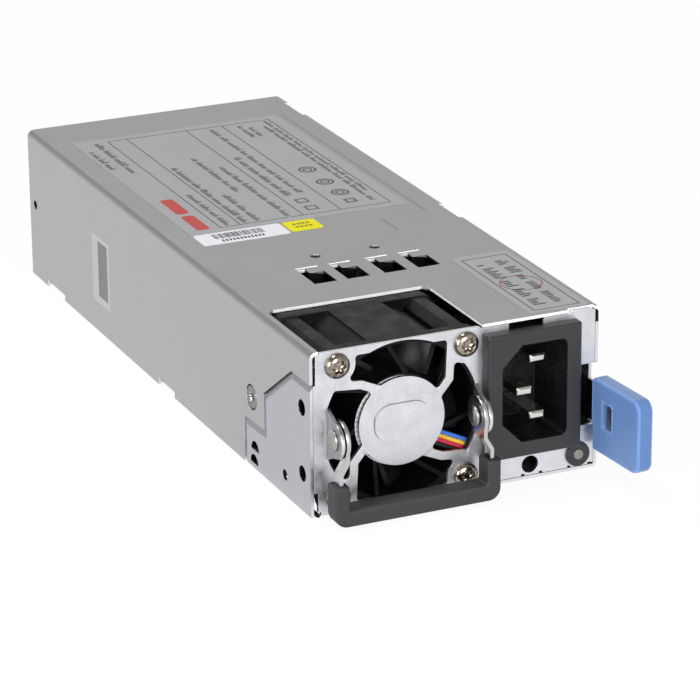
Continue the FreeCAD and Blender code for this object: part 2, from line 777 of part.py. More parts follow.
def fan_bearing():
    """Sleeve that stands on the motor base."""
    ring = rod(fan_x, fan_base_back, fan_z, Y, bearing_radius, bearing_length)
    bore = rod(fan_x, fan_base_back - past, fan_z, Y, shaft_radius + shaft_play, bearing_length + 2 * past)
    return ring.cut(bore)


def fan_stator():
    """Laminated core with four poles, pressed on the sleeve."""
    start = fan_base_back + rotor_base_gap
    bar, half_wide = stator_radius * pole_reach, stator_radius * pole_width / 2
    y = (start, start + stator_length)
    upright = block((fan_x - half_wide, fan_x + half_wide), y, (fan_z - bar, fan_z + bar))
    level = block((fan_x - bar, fan_x + bar), y, (fan_z - half_wide, fan_z + half_wide))
    bore = rod(fan_x, start - past, fan_z, Y, bearing_radius, stator_length + 2 * past)
    return upright.fuse(level).cut(bore).removeSplitter()


def blade():
    """One cambered blade, drawn outward from its section: two arcs and two ends."""
    half = blade_length / 2
    middle = rotor_front + blade_set_back + half
    lean = math.tan(math.radians(blade_angle)) * half
    t = blade_thickness / 2 / math.cos(math.radians(blade_angle))
    start = hub_radius - hub_wall / 2
    corners = [Vector(start, middle + a * half, a * lean + b * t)
               for a, b in ((-1, -1), (1, -1), (1, 1), (-1, 1))]
    low, high = (Vector(start, middle, blade_camber + b * t) for b in (-1, 1))
    edges = [Part.Arc(corners[0], low, corners[1]).toShape(), Part.makeLine(corners[1], corners[2]),
             Part.Arc(corners[2], high, corners[3]).toShape(), Part.makeLine(corners[3], corners[0])]
    return Part.Face(Part.Wire(edges)).extrude(X * fan_size)


def fan_rotor():
    """Hub, open towards the motor base, with cambered blades."""
    hub = rod(0, rotor_front, 0, Y, hub_radius, rotor_length)
    bound = rod(0, rotor_front, 0, Y, fan_bore_radius - blade_tip_gap, rotor_length)
    first = blade().common(bound)
    blades = []
    for i in range(blade_count):
        copy = first.copy()
        copy.rotate(Vector(0, 0, 0), Y, i * 360 / blade_count)
        blades.append(copy)
    cavity = rod(0, rotor_front - past, 0, Y, hub_radius - hub_wall, rotor_length - hub_wall * 2 + past)
    socket = facet_rod(0, 0, "XZ", (rotor_front, rotor_back - hub_wall), shaft_radius)
    rotor = hub.fuse(blades).cut([cavity, socket]).removeSplitter()
    rotor.translate(Vector(fan_x, 0, fan_z))
    return rotor


def fan_shaft():
    """Steel shaft, fixed in the hub and turning in the sleeve."""
    start = fan_base_back + rotor_base_gap / 2
    end = rotor_back - hub_wall
    return rod(fan_x, start, fan_z, Y, shaft_radius, end - start)


def pan_screw(x, z):
    """Screw with a raised head that draws the fan against the panel."""
    head = rod(x, front - screw_head_height, z, Y, screw_head_radius, screw_head_height)
    shank = facet_rod(x, z, "XZ", (front - hole_gap, front + fan_screw_length), fan_screw_shank)
    return head.fuse(shank).removeSplitter()


def fan_screws():
    """Four screws at the fan's corners."""
    return Part.makeCompound([pan_screw(x, z) for x, z in fan_corners(fan_hole_pitch / 2)])


def lead_rows():
    """Height of each lead below the first one."""
    return [i * -lead_pitch for i in range(lead_count)]


def lead_slot():
    """Sloped gap in the frame's wall, behind its front face, that the leads leave through."""
    reach = lead_radius + lead_slot_play
    middle = (fan_base_front + fan_base_back) / 2
    side_reach = fan_size / 2 + lead_side
    steep = lead_fall / (side_reach - fan_base_radius)
    height = lead_height - (lead_count - 1) * lead_pitch / 2
    start = fan_bore_radius * math.cos(math.asin((lead_height - lead_fall) / fan_bore_radius)) - past
    path = [(x, height - steep * (x - fan_base_radius)) for x in (start, fan_size / 2 + past)]
    width = (lead_count - 1) * lead_pitch + 2 * reach
    return prism(at_fan(ribbon(path, width)), "XZ", (middle - reach, middle + reach))


def fan_leads():
    """Four insulated leads from the motor base's rim: straight runs and one tangent arc each."""
    middle = (fan_base_front + fan_base_back) / 2
    side_reach = fan_size / 2 + lead_side
    turn_x = fan_x + side_reach
    steep = lead_fall / (side_reach - fan_base_radius)
    leads = []
    for row in lead_rows():
        height = lead_height + row
        level = height + steep * fan_base_radius
        clear = fan_base_radius + lead_radius + sheet_gap
        square = 1 + steep ** 2
        x = (steep * level + math.sqrt(square * clear ** 2 - level ** 2)) / square
        start = Vector(fan_x + x, middle, fan_z + level - steep * x)
        corner = Vector(turn_x, middle, fan_z + height - lead_fall)
        end = Vector(turn_x, front + board_front + lead_bend, corner.z)
        leads.append(tube_along([start, corner, end], lead_bend, lead_radius))
    return Part.makeCompound(leads)


def tube_along(points, bend, radius):
    """Many-sided lead about straight runs joined by tangent arcs."""
    edges = []
    here = points[0]
    for before, corner, after in zip(points, points[1:], points[2:]):
        into = (corner - before).normalize()
        out = (after - corner).normalize()
        half = into.getAngle(out) / 2
        cut = bend * math.tan(half)
        arc_start = corner - into * cut
        arc_end = corner + out * cut
        inward = (out - into).normalize()
        centre = corner + inward * (bend / math.cos(half))
        middle = centre - inward * bend
        edges.append(Part.LineSegment(here, arc_start).toShape())
        edges.append(Part.Arc(arc_start, middle, arc_end).toShape())
        here = arc_end
    edges.append(Part.LineSegment(here, points[-1]).toShape())
    path = Part.Wire(edges)
    run = (points[1] - points[0]).normalize()
    across = run.cross(Z).normalize()
    up = across.cross(run)
    ring = [turned([(radius, 0)], i * 360 / lead_sides)[0] for i in range(lead_sides)]
    corners = [points[0] + across * a + up * b for a, b in ring]
    section = Part.makePolygon(corners + corners[:1])
    return path.makePipeShell([section], True, False)


# ---------------------------------------------------------------- mains inlet
def inlet_body_spans():
    """X and Z of the housing behind the panel."""
    half_w = socket_width / 2 + inlet_wall
    half_h = socket_height / 2 + inlet_wall
    return (socket_x - half_w, socket_x + half_w), (socket_z - half_h, socket_z + half_h)


def pin_places():
    """X, Z and tip of the three blades: line, earth, neutral."""
    live_x, earth_x = socket_x + pin_offset, socket_x - pin_offset
    tip = inlet_face + pin_set_back
    return [(live_x, socket_z + pin_pitch / 2, tip), (earth_x, socket_z, inlet_face + earth_set_back),
            (live_x, socket_z - pin_pitch / 2, tip)]


def inlet_housing():
    """Moulded socket: a bezel in front of the panel and a hollow body behind it."""
    bezel = block((bezel_x - bezel_width / 2, bezel_x + bezel_width / 2), (inlet_face, front),
                  (bezel_z - bezel_height / 2, bezel_z + bezel_height / 2))
    bezel = bezel.makeChamfer(bezel_corner, rim_edges(bezel, "y", inlet_face))
    body_x, body_z = inlet_body_spans()
    body = block(body_x, (front - hole_gap, inlet_back), body_z)
    half_w, half_h = socket_width / 2, socket_height / 2
    left, right = socket_x - half_w, socket_x + half_w
    low, high = socket_z - half_h, socket_z + half_h
    c = socket_chamfer
    outline = [(left + c, low), (right, low), (right, high), (left + c, high),
               (left, high - c), (left, low + c)]
    cavity = prism(outline, "XZ", (inlet_face - past, socket_floor))
    corners = [e for e in edges_along(cavity, Y) if abs(e.CenterOfMass.x - right) < hole_gap]
    cavity = cavity.makeFillet(socket_corner, corners)
    slots = []
    for x, z, tip in pin_places():
        slots.append(block((x - blade_pin[0] / 2, x + blade_pin[0] / 2),
                           (socket_floor - past, inlet_back + past),
                           (z - blade_pin[1] / 2, z + blade_pin[1] / 2)))
    return bezel.fuse(body).cut([cavity] + slots).removeSplitter()


def inlet_pins():
    """Three blades with bevelled tips, soldered to the inlet board."""
    pins = []
    for x, z, tip in pin_places():
        pin = block((x - blade_pin[0] / 2, x + blade_pin[0] / 2), (tip, inlet_back + pin_tail),
                    (z - blade_pin[1] / 2, z + blade_pin[1] / 2))
        edges = [e for e in pin.Edges if abs(e.CenterOfMass.y - tip) < hole_gap]
        pins.append(pin.makeChamfer(pin_bevel, edges))
    return Part.makeCompound(pins)


def inlet_board():
    """Upright board behind the inlet that the blades are soldered to; it stands on the main board."""
    body_x, body_z = inlet_body_spans()
    y0 = inlet_back + pin_tail - inlet_board_thickness - sheet_gap
    board = block((body_x[0] - sheet_gap, body_x[1] - sheet_gap), (y0, y0 + inlet_board_thickness),
                  (board_top, body_z[1] - inlet_board_margin))
    holes = []
    for x, z, tip in pin_places():
        holes.append(block((x - blade_pin[0] / 2, x + blade_pin[0] / 2), (y0 - past, y0 + 2 * past),
                           (z - blade_pin[1] / 2, z + blade_pin[1] / 2)))
    return board.cut(holes)


# ---------------------------------------------------------------- indicator
def led_holder():
    """Snap-in collar: a ring in front of the panel and a barrel behind it."""
    x, z = bezel_x + led_offset[0], bezel_z + led_offset[1]
    ring = rod(x, front - led_ring_stand, z, Y, led_ring_radius, led_ring_stand)
    barrel = facet_rod(x, z, "XZ", (front - hole_gap, front + led_body_length), led_body_radius)
    bore = rod(x, front - past, z, Y, led_lens_radius, led_body_length + 2 * past)
    return ring.fuse(barrel).cut(bore).removeSplitter()


def led_lens():
    """Round lens that fills the collar."""
    x, z = bezel_x + led_offset[0], bezel_z + led_offset[1]
    start = front - led_ring_stand - led_lens_stand
    return rod(x, start, z, Y, led_lens_radius, led_body_length + led_ring_stand)


# ---------------------------------------------------------------- handle
def bail_path():
    """Middle of the bail's strip in X and Z, from one pivot round the grip to the other."""
    upper = arm_outer - arm_sheet / 2
    lower = upper + arm_joggle
    right = [(upper, pivot_z + arm_disc_radius), (upper, pivot_z - joggle_start),
             (lower, pivot_z - joggle_end), (lower, bail_strip_height + arm_sheet / 2)]
    left = [(-x, z) for x, z in right[::-1]]
    return [(fan_x + x, z) for x, z in right + left]


def handle_bail():
    """Spring steel bail: two eyes on the rivets, joggled arms and a crossbar inside the grip."""
    y = (pivot_y - arm_disc_radius, pivot_y + arm_disc_radius)
    strip = prism(ribbon(bail_path(), arm_sheet), "XZ", y)
    centre = pivot_y - arm_centre
    span = grip_half_width + past
    keep = block((fan_x - span, fan_x + span), (centre - arm_width / 2, centre + arm_width / 2),
                 (0, pivot_z))
    eyes = rod(fan_x - span, pivot_y, pivot_z, X, arm_disc_radius, 2 * span)
    holes = facet_rod(pivot_y, pivot_z, "YZ", (fan_x - span, fan_x + span), rivet_radius + hole_gap)
    return strip.common(keep.fuse(eyes)).cut(holes).removeSplitter()


def handle_grip():
    """Moulded U that the bail's crossbar and arms are set in."""
    x = (fan_x - grip_half_width, fan_x + grip_half_width)
    y = (front - grip_front, front - grip_back)
    outer = block(x, y, (grip_bottom, grip_limb_top))
    corners = [e for e in edges_along(outer, Y) if e.CenterOfMass.z < grip_bottom + hole_gap]
    outer = outer.makeFillet(grip_corner, corners)
    inner = block((x[0] + grip_limb, x[1] - grip_limb), (y[0] - past, y[1] + past),
                  (grip_bottom + grip_bar, grip_limb_top + past))
    inner_corners = [e for e in edges_along(inner, Y) if e.CenterOfMass.z < grip_limb_top]
    grip = outer.cut(inner.makeFillet(grip_edge, inner_corners))
    rims = rim_edges(grip, "y", y[0]) + rim_edges(grip, "y", y[1])
    return grip.makeChamfer(grip_edge, rims).cut(handle_bail())


def handle_rivets():
    """Two shouldered rivets: a head outside each ear and one inside each arm."""
    rivets = []
    for sign in (-1, 1):
        stem_in = arm_outer - arm_sheet - arm_gap_side
        stem = rod(stem_in - hole_gap, 0, 0, X, rivet_radius, ear_outer + 2 * hole_gap - stem_in)
        inner = rod(stem_in - rivet_head, 0, 0, X, rivet_head_radius, rivet_head)
        outer = rod(ear_outer, 0, 0, X, rivet_head_radius, rivet_head)
        rivet = stem.fuse([inner, outer]).removeSplitter()
        if sign < 0:
            rivet = rivet.mirror(Vector(0, 0, 0), X)
        rivet.translate(Vector(fan_x, pivot_y, pivot_z))
        rivets.append(rivet)
    return Part.makeCompound(rivets)


# ---------------------------------------------------------------- latch
def splayed(reach):
    """Middle of the latch arm at a distance in front of the panel."""
    x = latch_face - latch_sheet / 2 + math.tan(math.radians(latch_splay)) * reach
    return x, front - reach


def latch_arm():
    """Leaf spring inside the right wall, with a pressed catch that stands out through the side."""
    middle = latch_face - latch_sheet / 2
    path = [(middle, latch_y - latch_split), (middle, front), splayed(latch_reach)]
    leaf = prism(ribbon(path, latch_sheet), "XY", (latch_low, latch_low + latch_height))
    peak = side + catch_proud - latch_sheet / 2
    hump = [(middle, front + catch_start), (peak, front + catch_peak), (middle, front + catch_end)]
    pressed = prism(ribbon(hump, latch_sheet), "XY", (catch_low, catch_low + catch_height))
    gap_y = (front + catch_end + latch_sheet, front + catch_start - latch_sheet)
    window = block((middle - latch_sheet, middle + latch_sheet), gap_y, (catch_low, catch_low + catch_height))
    inner_side = block((0, latch_face - latch_sheet), (front, latch_y), (0, top))
    return leaf.cut(window).fuse(pressed.cut(inner_side)).removeSplitter()


def latch_tab():
    """Moulded thumb tab on the spring's end, with a pocket that shows the spring."""
    start, end = splayed(tab_back), splayed(tab_front)
    shift = tab_thickness / 2 - latch_sheet / 2 - tab_inset
    path = [(start[0] + shift, start[1]), (end[0] + shift, end[1])]
    tab = prism(ribbon(path, tab_thickness), "XY", (tab_low, tab_high))
    corners = [edge for edge in tab.Edges if abs(edge.tangentAt(edge.FirstParameter).z) < hole_gap
               and edge.Length < tab_thickness + hole_gap and edge.CenterOfMass.y < end[1] + tab_inset]
    tab = tab.makeFillet(tab_corner, corners)
    pocket_y, pocket_z = tab_pocket
    x_in = start[0] - tab_thickness
    pocket = block((x_in, latch_face + latch_sheet), (front + pocket_y[0], front + pocket_y[1]), pocket_z)
    return tab.cut(pocket).cut(latch_arm())


def latch_anchor():
    """Fixed end of the leaf spring, held against the chassis wall by two hooks in its slots."""
    y = (latch_y + latch_split, latch_y + latch_anchor_length)
    plate = block((wall_in - latch_sheet, wall_in), y, (latch_low, latch_low + latch_height))
    hooks = [block((wall_in - hole_gap, wall_out), *hook) for hook in anchor_hooks()]
    return plate.fuse(hooks).removeSplitter()


# ---------------------------------------------------------------- rear, boards and what they carry
def rear_panel():
    """Rear plate with two rows of air slots and the mouth for the card edge."""
    edge = wall_in - sheet_gap
    y = (rear - rear_sheet - sheet_gap, rear - sheet_gap)
    plate = block((-edge, edge), y, (chassis_sheet, roof - sheet_gap / 2))
    lower = [corner for corner in edges_along(plate, Y) if corner.CenterOfMass.z < chassis_bend]
    plate = plate.makeChamfer(chassis_bend - chassis_sheet, lower)
    cuts = []
    pitch = 2 * (wall_in - rear_slot_margin) / rear_slot_count
    for row in rear_slot_rows:
        for i in range(rear_slot_count):
            x = (i - (rear_slot_count - 1) / 2) * pitch
            cuts.append(block((x - rear_slot[0] / 2, x + rear_slot[0] / 2), (y[0] - past, y[1] + past),
                              (row, row + rear_slot[1])))
    half = card_edge_half + card_slot_gap
    cuts.append(block((-half, half), (y[0] - past, y[1] + past),
                      (board_height - card_slot_gap, board_top + card_slot_gap)))
    return plate.cut(cuts)


def centred(x, y, width, z):
    """Square post about an upright line."""
    half = width / 2
    return block((x - half, x + half), (y - half, y + half), z)


def support_places():
    """X and Y of the board's supports."""
    x = wall_in - support_inset
    rows = (support_front, [case_length - y for y in support_rear])
    return [(sign * x, y) for row in rows for sign, y in zip((-1, 1), row)]


def main_board():
    """Board with a tongue under the inlet and a card edge out of the rear."""
    edge = wall_in - board_side_gap
    board_rear = rear - rear_sheet - 2 * sheet_gap - sheet_gap
    z = (board_height, board_top)
    board = block((-edge, edge), (front + board_front, board_rear), z)
    tongue_x, tongue_y = board_tongue
    tongue = block(tongue_x, (front + tongue_y, front + board_front + past), z)
    card = block((-card_edge_half, card_edge_half), (board_rear - past, rear + card_edge_reach), z)
    holes = [centred(x, front + y, support_neck + 2 * hole_gap, (board_height - past, board_top + past))
             for x, y in support_places()]
    return board.fuse([tongue, card]).cut(holes).removeSplitter()


def gold_fingers():
    """Plated contacts on both faces of the card edge."""
    pitch = 2 * card_edge_half / finger_count
    y1 = rear + card_edge_reach - board_side_gap
    fingers = []
    for i in range(finger_count):
        x = (i - (finger_count - 1) / 2) * pitch
        span = (x - pitch * finger_fill / 2, x + pitch * finger_fill / 2)
        for z in ((board_height - finger_thickness, board_height), (board_top, board_top + finger_thickness)):
            fingers.append(block(span, (y1 - finger_length, y1), z))
    return Part.makeCompound(fingers)


def insulating_sheet():
    """Thin film between the board's solder side and the tray."""
    edge = wall_in - board_side_gap
    z = (chassis_sheet, chassis_sheet + insulator_thickness)
    sheet = block((-edge, edge), (front + board_front, rear - rear_sheet - past), z)
    holes = [centred(x, front + y, support_post + 2 * sheet_gap, (0, board_height))
             for x, y in support_places()]
    return sheet.cut(holes)


def board_supports():
    """Square nylon posts between tray and board, each with a neck and a snap head above the board."""
    supports = []
    for x, y in support_places():
        post = centred(x, front + y, support_post, (chassis_sheet, board_height))
        neck = centred(x, front + y, support_neck, (board_height - hole_gap, board_top + hole_gap))
        head = centred(x, front + y, support_head, (board_top, board_top + support_head_height))
        supports.append(post.fuse([neck, head]).removeSplitter())
    return Part.makeCompound(supports)


def cover_screw():
    """Flush screw in the cover's left side."""
    return flat_screw(0)


def fan_connector():
    """Board socket that the fan leads end in."""
    width, length = fan_connector_size
    x = fan_x + fan_size / 2 + lead_side
    y0 = front + board_front + lead_bend
    high = fan_z + lead_height - lead_fall + lead_radius + past
    return block((x - width / 2, x + width / 2), (y0, y0 + length), (board_top, high))


def emi_choke():
    """Common-mode choke: an upright ferrite frame with a winding on each leg."""
    x, y = choke_x, choke_y
    width, height = choke_frame
    half = choke_depth / 2
    leg = choke_leg
    z0 = board_top
    frame = block((x - width / 2, x + width / 2), (front + y - half, front + y + half), (z0, z0 + height))
    frame = frame.cut(block((x - width / 2 + leg, x + width / 2 - leg), (front + y - half - past,
                            front + y + half + past), (z0 + leg, z0 + height - leg)))
    coils = []
    for sign in (-1, 1):
        middle = x + sign * (width - leg) / 2
        reach = leg / 2 + choke_winding
        coils.append(block((middle - reach, middle + reach), (front + y - half - choke_winding,
                           front + y + half + choke_winding), (z0 + leg, z0 + height - leg)))
    return frame.fuse(coils).removeSplitter()


def pfc_choke():
    """Power factor choke: a flat-topped ferrite core round its winding."""
    width, length = pfc_choke_size
    x = (wall_margin - wall_in, wall_margin - wall_in + width)
    y = (pfc_choke_start, pfc_choke_start + length)
    height = pfc_choke_height
    core = block(x, (front + y[0], front + y[1]), (board_top, board_top + height))
    window_z = (board_top + choke_leg, board_top + height - choke_leg)
    tunnel = block((x[0] + choke_leg, x[1] - choke_leg), (front + y[0] - past, front + y[1] + past), window_z)
    coil_y = (front + y[0] - choke_winding, front + y[1] + choke_winding)
    coil = block((x[0] + choke_leg, x[1] - choke_leg), coil_y, window_z)
    return core.cut(tunnel).fuse(coil).removeSplitter()


def x_capacitor():
    """Film capacitor across the line."""
    width, length = x_cap_size
    x, y = x_cap_place[0] - width / 2, front + x_cap_place[1] - length / 2
    return block((x, x + width), (y, y + length), (board_top, board_top + x_cap_height))


def fuse():
    """Cartridge fuse lying across the board."""
    x, y = fuse_place
    axis_z = board_top + fuse_radius
    span = (x - fuse_length / 2, x + fuse_length / 2)
    return facet_rod(front + y, axis_z, "YZ", span, fuse_radius, can_facets)


def bulk_capacitor():
    """Large electrolytic capacitor, lying along the case."""
    x, y = bulk_place
    span = (front + y, front + y + bulk_length)
    return facet_rod(x, board_top + bulk_radius, "XZ", span, bulk_radius, can_facets)


def comb(x, y, height):
    """Extruded heat sink: an upright web with fins to one side, drawn along the case."""
    z0 = board_top
    web = block((x[0], x[0] + sink_base), (front + y[0], front + y[1]), (z0, z0 + height))
    fins = []
    pitch = (height - sink_fin) / (sink_fins - 1)
    for i in range(sink_fins):
        low = z0 + i * pitch
        fins.append(block((x[0], x[1]), (front + y[0], front + y[1]), (low, low + sink_fin)))
    return web.fuse(fins).removeSplitter()


def heat_sink_primary():
    """Sink of the mains-side switches."""
    right = wall_in - sink_margin
    end = core_place[1] - core_size[1] / 2 - coil_reach - sink_coil_gap
    return comb((right - sink_primary_width, right), (sink_primary_start, end), sink_primary_height)


def heat_sink_secondary():
    """Sink of the output-side switches."""
    width, length = sink_secondary_size
    left = sink_margin - wall_in
    end = case_length - sink_rear_gap
    return comb((left, left + width), (end - length, end), sink_secondary_height)


def transformer_core():
    """Ferrite core with two windows about its middle leg."""
    width, depth, height = core_size
    x0, y0 = core_place[0] - width / 2, front + core_place[1] - depth / 2
    core = block((x0, x0 + width), (y0, y0 + depth), (board_top, board_top + height))
    leg = core_leg
    window = (width - 4 * leg) / 2
    cuts = []
    for left in (x0 + leg, x0 + width - leg - window):
        cuts.append(block((left, left + window), (y0 - past, y0 + depth + past),
                          (board_top + leg, board_top + height - leg)))
    return core.cut(cuts)


def transformer_winding():
    """Wound bobbin around the core's middle leg, standing out of both ends."""
    width, depth, height = core_size
    leg = core_leg
    x = (core_place[0] - width / 2 + leg + coil_margin, core_place[0] + width / 2 - leg - coil_margin)
    y = (front + core_place[1] - depth / 2 - coil_reach, front + core_place[1] + depth / 2 + coil_reach)
    z = (board_top + leg + coil_margin, board_top + height - leg - coil_margin)
    coil = block(x, y, z)
    coil = coil.makeChamfer(coil_reach / 2, edges_along(coil, Z))
    hole = block((core_place[0] - leg - hole_gap, core_place[0] + leg + hole_gap),
                 (front + core_place[1] - depth / 2 - hole_gap, front + core_place[1] + depth / 2 + hole_gap),
                 (board_top, board_top + height))
    return coil.cut(hole)


def output_capacitors():
    """Low-voltage electrolytic capacitors, standing side by side."""
    cans = []
    y = rear - out_cap_rear
    for x in out_cap_x:
        span = (board_top, board_top + out_cap_height)
        cans.append(facet_rod(x, y, "XY", span, out_cap_radius, can_facets))
    return Part.makeCompound(cans)


def control_board():
    """Upright daughter board with the control circuit."""
    left = control_margin - wall_in
    y0 = front + bulk_place[1] + bulk_length + control_gaps[0]
    y1 = rear - sink_rear_gap - sink_secondary_size[1] - control_gaps[1]
    return block((left, left + control_thickness), (y0, y1), (board_top, board_top + control_height))


# ---------------------------------------------------------------- export
pieces = (top_cover, base_chassis, front_panel, rear_panel,
          fan_frame, fan_bearing, fan_stator, fan_rotor, fan_shaft, fan_screws, fan_leads, fan_connector,
          inlet_housing, inlet_pins, inlet_board, led_holder, led_lens,
          handle_bail, handle_grip, handle_rivets,
          latch_arm, latch_tab, latch_anchor, cover_screw,
          main_board, gold_fingers, insulating_sheet, board_supports,
          fuse, emi_choke, x_capacitor, pfc_choke, bulk_capacitor, heat_sink_primary,
          transformer_core, transformer_winding, heat_sink_secondary, output_capacitors, control_board)

os.makedirs("parts", exist_ok=True)
for piece in pieces:
    shape = piece()
    if not shape.isValid():
        print("not valid:", piece.__name__)
    shape.exportStep(f"parts/{piece.__name__}.step")
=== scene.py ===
import math
import random

import bmesh
import bpy
from mathutils import Matrix, Vector


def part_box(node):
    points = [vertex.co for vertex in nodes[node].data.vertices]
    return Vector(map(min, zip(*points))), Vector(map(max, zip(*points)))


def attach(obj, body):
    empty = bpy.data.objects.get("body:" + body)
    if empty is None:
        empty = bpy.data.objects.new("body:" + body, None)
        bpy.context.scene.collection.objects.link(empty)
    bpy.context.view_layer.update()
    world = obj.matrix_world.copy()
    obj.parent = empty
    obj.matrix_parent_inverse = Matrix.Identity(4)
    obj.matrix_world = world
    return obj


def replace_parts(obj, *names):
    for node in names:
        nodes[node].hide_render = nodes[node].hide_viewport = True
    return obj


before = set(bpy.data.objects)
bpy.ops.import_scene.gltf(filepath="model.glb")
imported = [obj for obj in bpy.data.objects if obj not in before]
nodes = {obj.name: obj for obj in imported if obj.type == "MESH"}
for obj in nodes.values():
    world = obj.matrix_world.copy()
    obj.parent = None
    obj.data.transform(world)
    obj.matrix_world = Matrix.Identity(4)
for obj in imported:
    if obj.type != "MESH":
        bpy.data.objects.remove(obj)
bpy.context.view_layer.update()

# Hot swap server power supply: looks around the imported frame. Sizes are in millimetres where a name
# says so and are turned to metres by MM. -Y is the front, +Z up.

MM = 0.001

case_low, case_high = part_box("top_cover")
fan_low, fan_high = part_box("fan_frame")
inlet_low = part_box("inlet_housing")[0]
blades_low, blades_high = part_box("inlet_pins")
screws_low, screws_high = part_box("fan_screws")
rivets_low, rivets_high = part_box("handle_rivets")
front_y = case_low.y
roof_z = case_high.z
fan_centre = (fan_low + fan_high) / 2

ink_mm = 0.02
label_mm = 0.08
print_z = roof_z + label_mm * MM

rolled_grain_mm = (0.25, 2.4, 0.25)  # the sheet was rolled along the case
cut_grain_mm = (0.12, 0.12, 0.8)  # and cut by a punch that moved up or down
noise_low, noise_high = 0.35, 0.65  # nearly all of a noise node's values lie between these


# ---------------------------------------------------------------- colour and shader helpers
def linear(code):
    """sRGB hex to the linear values that a shader takes."""
    parts = [int(code[i:i + 2], 16) / 255 for i in (0, 2, 4)]
    return [p / 12.92 if p <= 0.04045 else ((p + 0.055) / 1.055) ** 2.4 for p in parts] + [1.0]


def shaded(colour, factor):
    """A linear colour made lighter or darker."""
    return [min(part * factor, 1.0) for part in colour[:3]] + [1.0]


def node(tree, kind, inputs=(), **settings):
    """Add a shader node: settings are its properties, inputs give its sockets values or other nodes' outputs.

    Sockets without a name of their own go by number. MapRange takes its value as 0, the range that it
    comes from as 1 and 2 and the range that it goes to as 3 and 4. A Mix of colours takes its factor as 0
    and the colours as 6 and 7, and gives output 2.
    """
    made = tree.nodes.new("ShaderNode" + kind)
    for name, value in settings.items():
        setattr(made, name, value)
    for socket, value in dict(inputs).items():
        if isinstance(value, bpy.types.NodeSocket):
            tree.links.new(value, made.inputs[socket])
        else:
            made.inputs[socket].default_value = value
    return made


def empty_material(name):
    """A material with its output node only."""
    material = bpy.data.materials.new(name)
    material.use_nodes = True
    material.node_tree.nodes.clear()
    return material, material.node_tree, material.node_tree.nodes.new("ShaderNodeOutputMaterial")


def finish(name, code, roughness, grain_mm, metallic=0.0, patch_mm=12.0, tone=0.05, rub=0.06,
           bump_mm=0.004, rim=0.0, **sockets):
    """A material from its colour, a fine grain, a slow patchiness in tone and an uneven polish.

    grain_mm is the grain's size along X, Y and Z, or one size for all. The real grain of these sheets and
    mouldings is finer, and is drawn this coarse so that it shows. tone and rub are the shares by which
    colour and roughness vary; rim is the share of a painted dark reflection that darkens the colour where
    the surface turns away from the eye; sockets are constant values of the shader itself.
    """
    material, tree, output = empty_material(name)
    colour = linear(code)
    sizes = grain_mm if isinstance(grain_mm, tuple) else (grain_mm,) * 3
    place = node(tree, "TexCoord").outputs["Object"]
    stretched = node(tree, "Mapping", {"Vector": place, "Scale": [1 / (size * MM) for size in sizes]})
    grain = node(tree, "TexNoise", {"Vector": stretched.outputs[0], "Scale": 1.0, "Detail": 3.0})
    patch = node(tree, "TexNoise", {"Vector": place, "Scale": 1 / (patch_mm * MM), "Detail": 4.0})
    both = node(tree, "Math", {0: grain.outputs[0], 1: patch.outputs[0]}, operation="ADD")
    spread = node(tree, "MapRange", {0: both.outputs[0], 1: 2 * noise_low, 2: 2 * noise_high})
    mixed = node(tree, "Mix", {0: spread.outputs[0], 6: shaded(colour, 1 - tone),
                               7: shaded(colour, 1 + tone)}, data_type="RGBA")
    tint = mixed.outputs[2]
    # painted dark reflection: the colour darkens towards near black where the surface turns away from the eye
    if rim:
        away = node(tree, "LayerWeight", {"Blend": 0.5})
        dark = node(tree, "Math", {0: away.outputs["Facing"], 1: rim}, operation="MULTIPLY")
        tint = node(tree, "Mix", {0: dark.outputs[0], 6: tint, 7: linear("0c0b0a")},
                    data_type="RGBA").outputs[2]
    polish = node(tree, "MapRange", {0: patch.outputs[0], 1: noise_low, 2: noise_high,
                                     3: roughness - rub, 4: roughness + rub})
    relief = node(tree, "Bump", {"Height": grain.outputs[0], "Strength": 0.5, "Distance": bump_mm * MM})
    shader = node(tree, "BsdfPrincipled", {"Base Color": tint, "Roughness": polish.outputs[0],
                                           "Metallic": metallic, "Normal": relief.outputs[0], **sockets})
    tree.links.new(shader.outputs[0], output.inputs[0])
    return material


# ---------------------------------------------------------------- materials
# Electrogalvanised steel sheet, cold rolled: flat grey metal, soft grain along the rolling direction.
zinc_sheet = finish("electrogalvanised_steel_rolled", "adadad", roughness=0.5, grain_mm=rolled_grain_mm,
                    metallic=1.0, patch_mm=18.0, tone=0.03, rub=0.05, bump_mm=0.002)
# The same sheet on the cover's left side, painted a little brighter as the light that falls on that side.
lit_side_zinc = finish("electrogalvanised_steel_lit_side", "b4b4b4", roughness=0.48,
                   grain_mm=rolled_grain_mm, metallic=1.0, patch_mm=18.0, tone=0.03, rub=0.05,
                   bump_mm=0.002)
# The same sheet on the tray, a shade lighter and cooler from its thicker zinc.
zinc_tray = finish("electrogalvanised_steel_tray", "babbc1", roughness=0.48, grain_mm=rolled_grain_mm,
                   metallic=1.0, patch_mm=14.0, tone=0.04, rub=0.05, bump_mm=0.002)
# Burnished streaks where a press tool touched the sheet.
press_mark = finish("electrogalvanised_steel_burnished", "9c9c9c", roughness=0.45, grain_mm=0.4,
                    metallic=1.0, patch_mm=9.0, tone=0.08, rub=0.05, bump_mm=0.001)
# Painted shade on the same sheet: darker on faces turned up and to the left, along the bend of the roof's
# left edge.
bend_shade = finish("electrogalvanised_steel_bend_shade", "989898", roughness=0.46, grain_mm=rolled_grain_mm,
                    metallic=1.0, patch_mm=10.0, rub=0.05, bump_mm=0.002)
# The joggled border of the bracket, painted greyer as shade under the cover's edge.
joggle_shade = finish("electrogalvanised_steel_joggle_shade", "9a9b9f", roughness=0.44, grain_mm=0.3,
                     metallic=1.0, patch_mm=5.0, tone=0.06, rub=0.05, bump_mm=0.002)
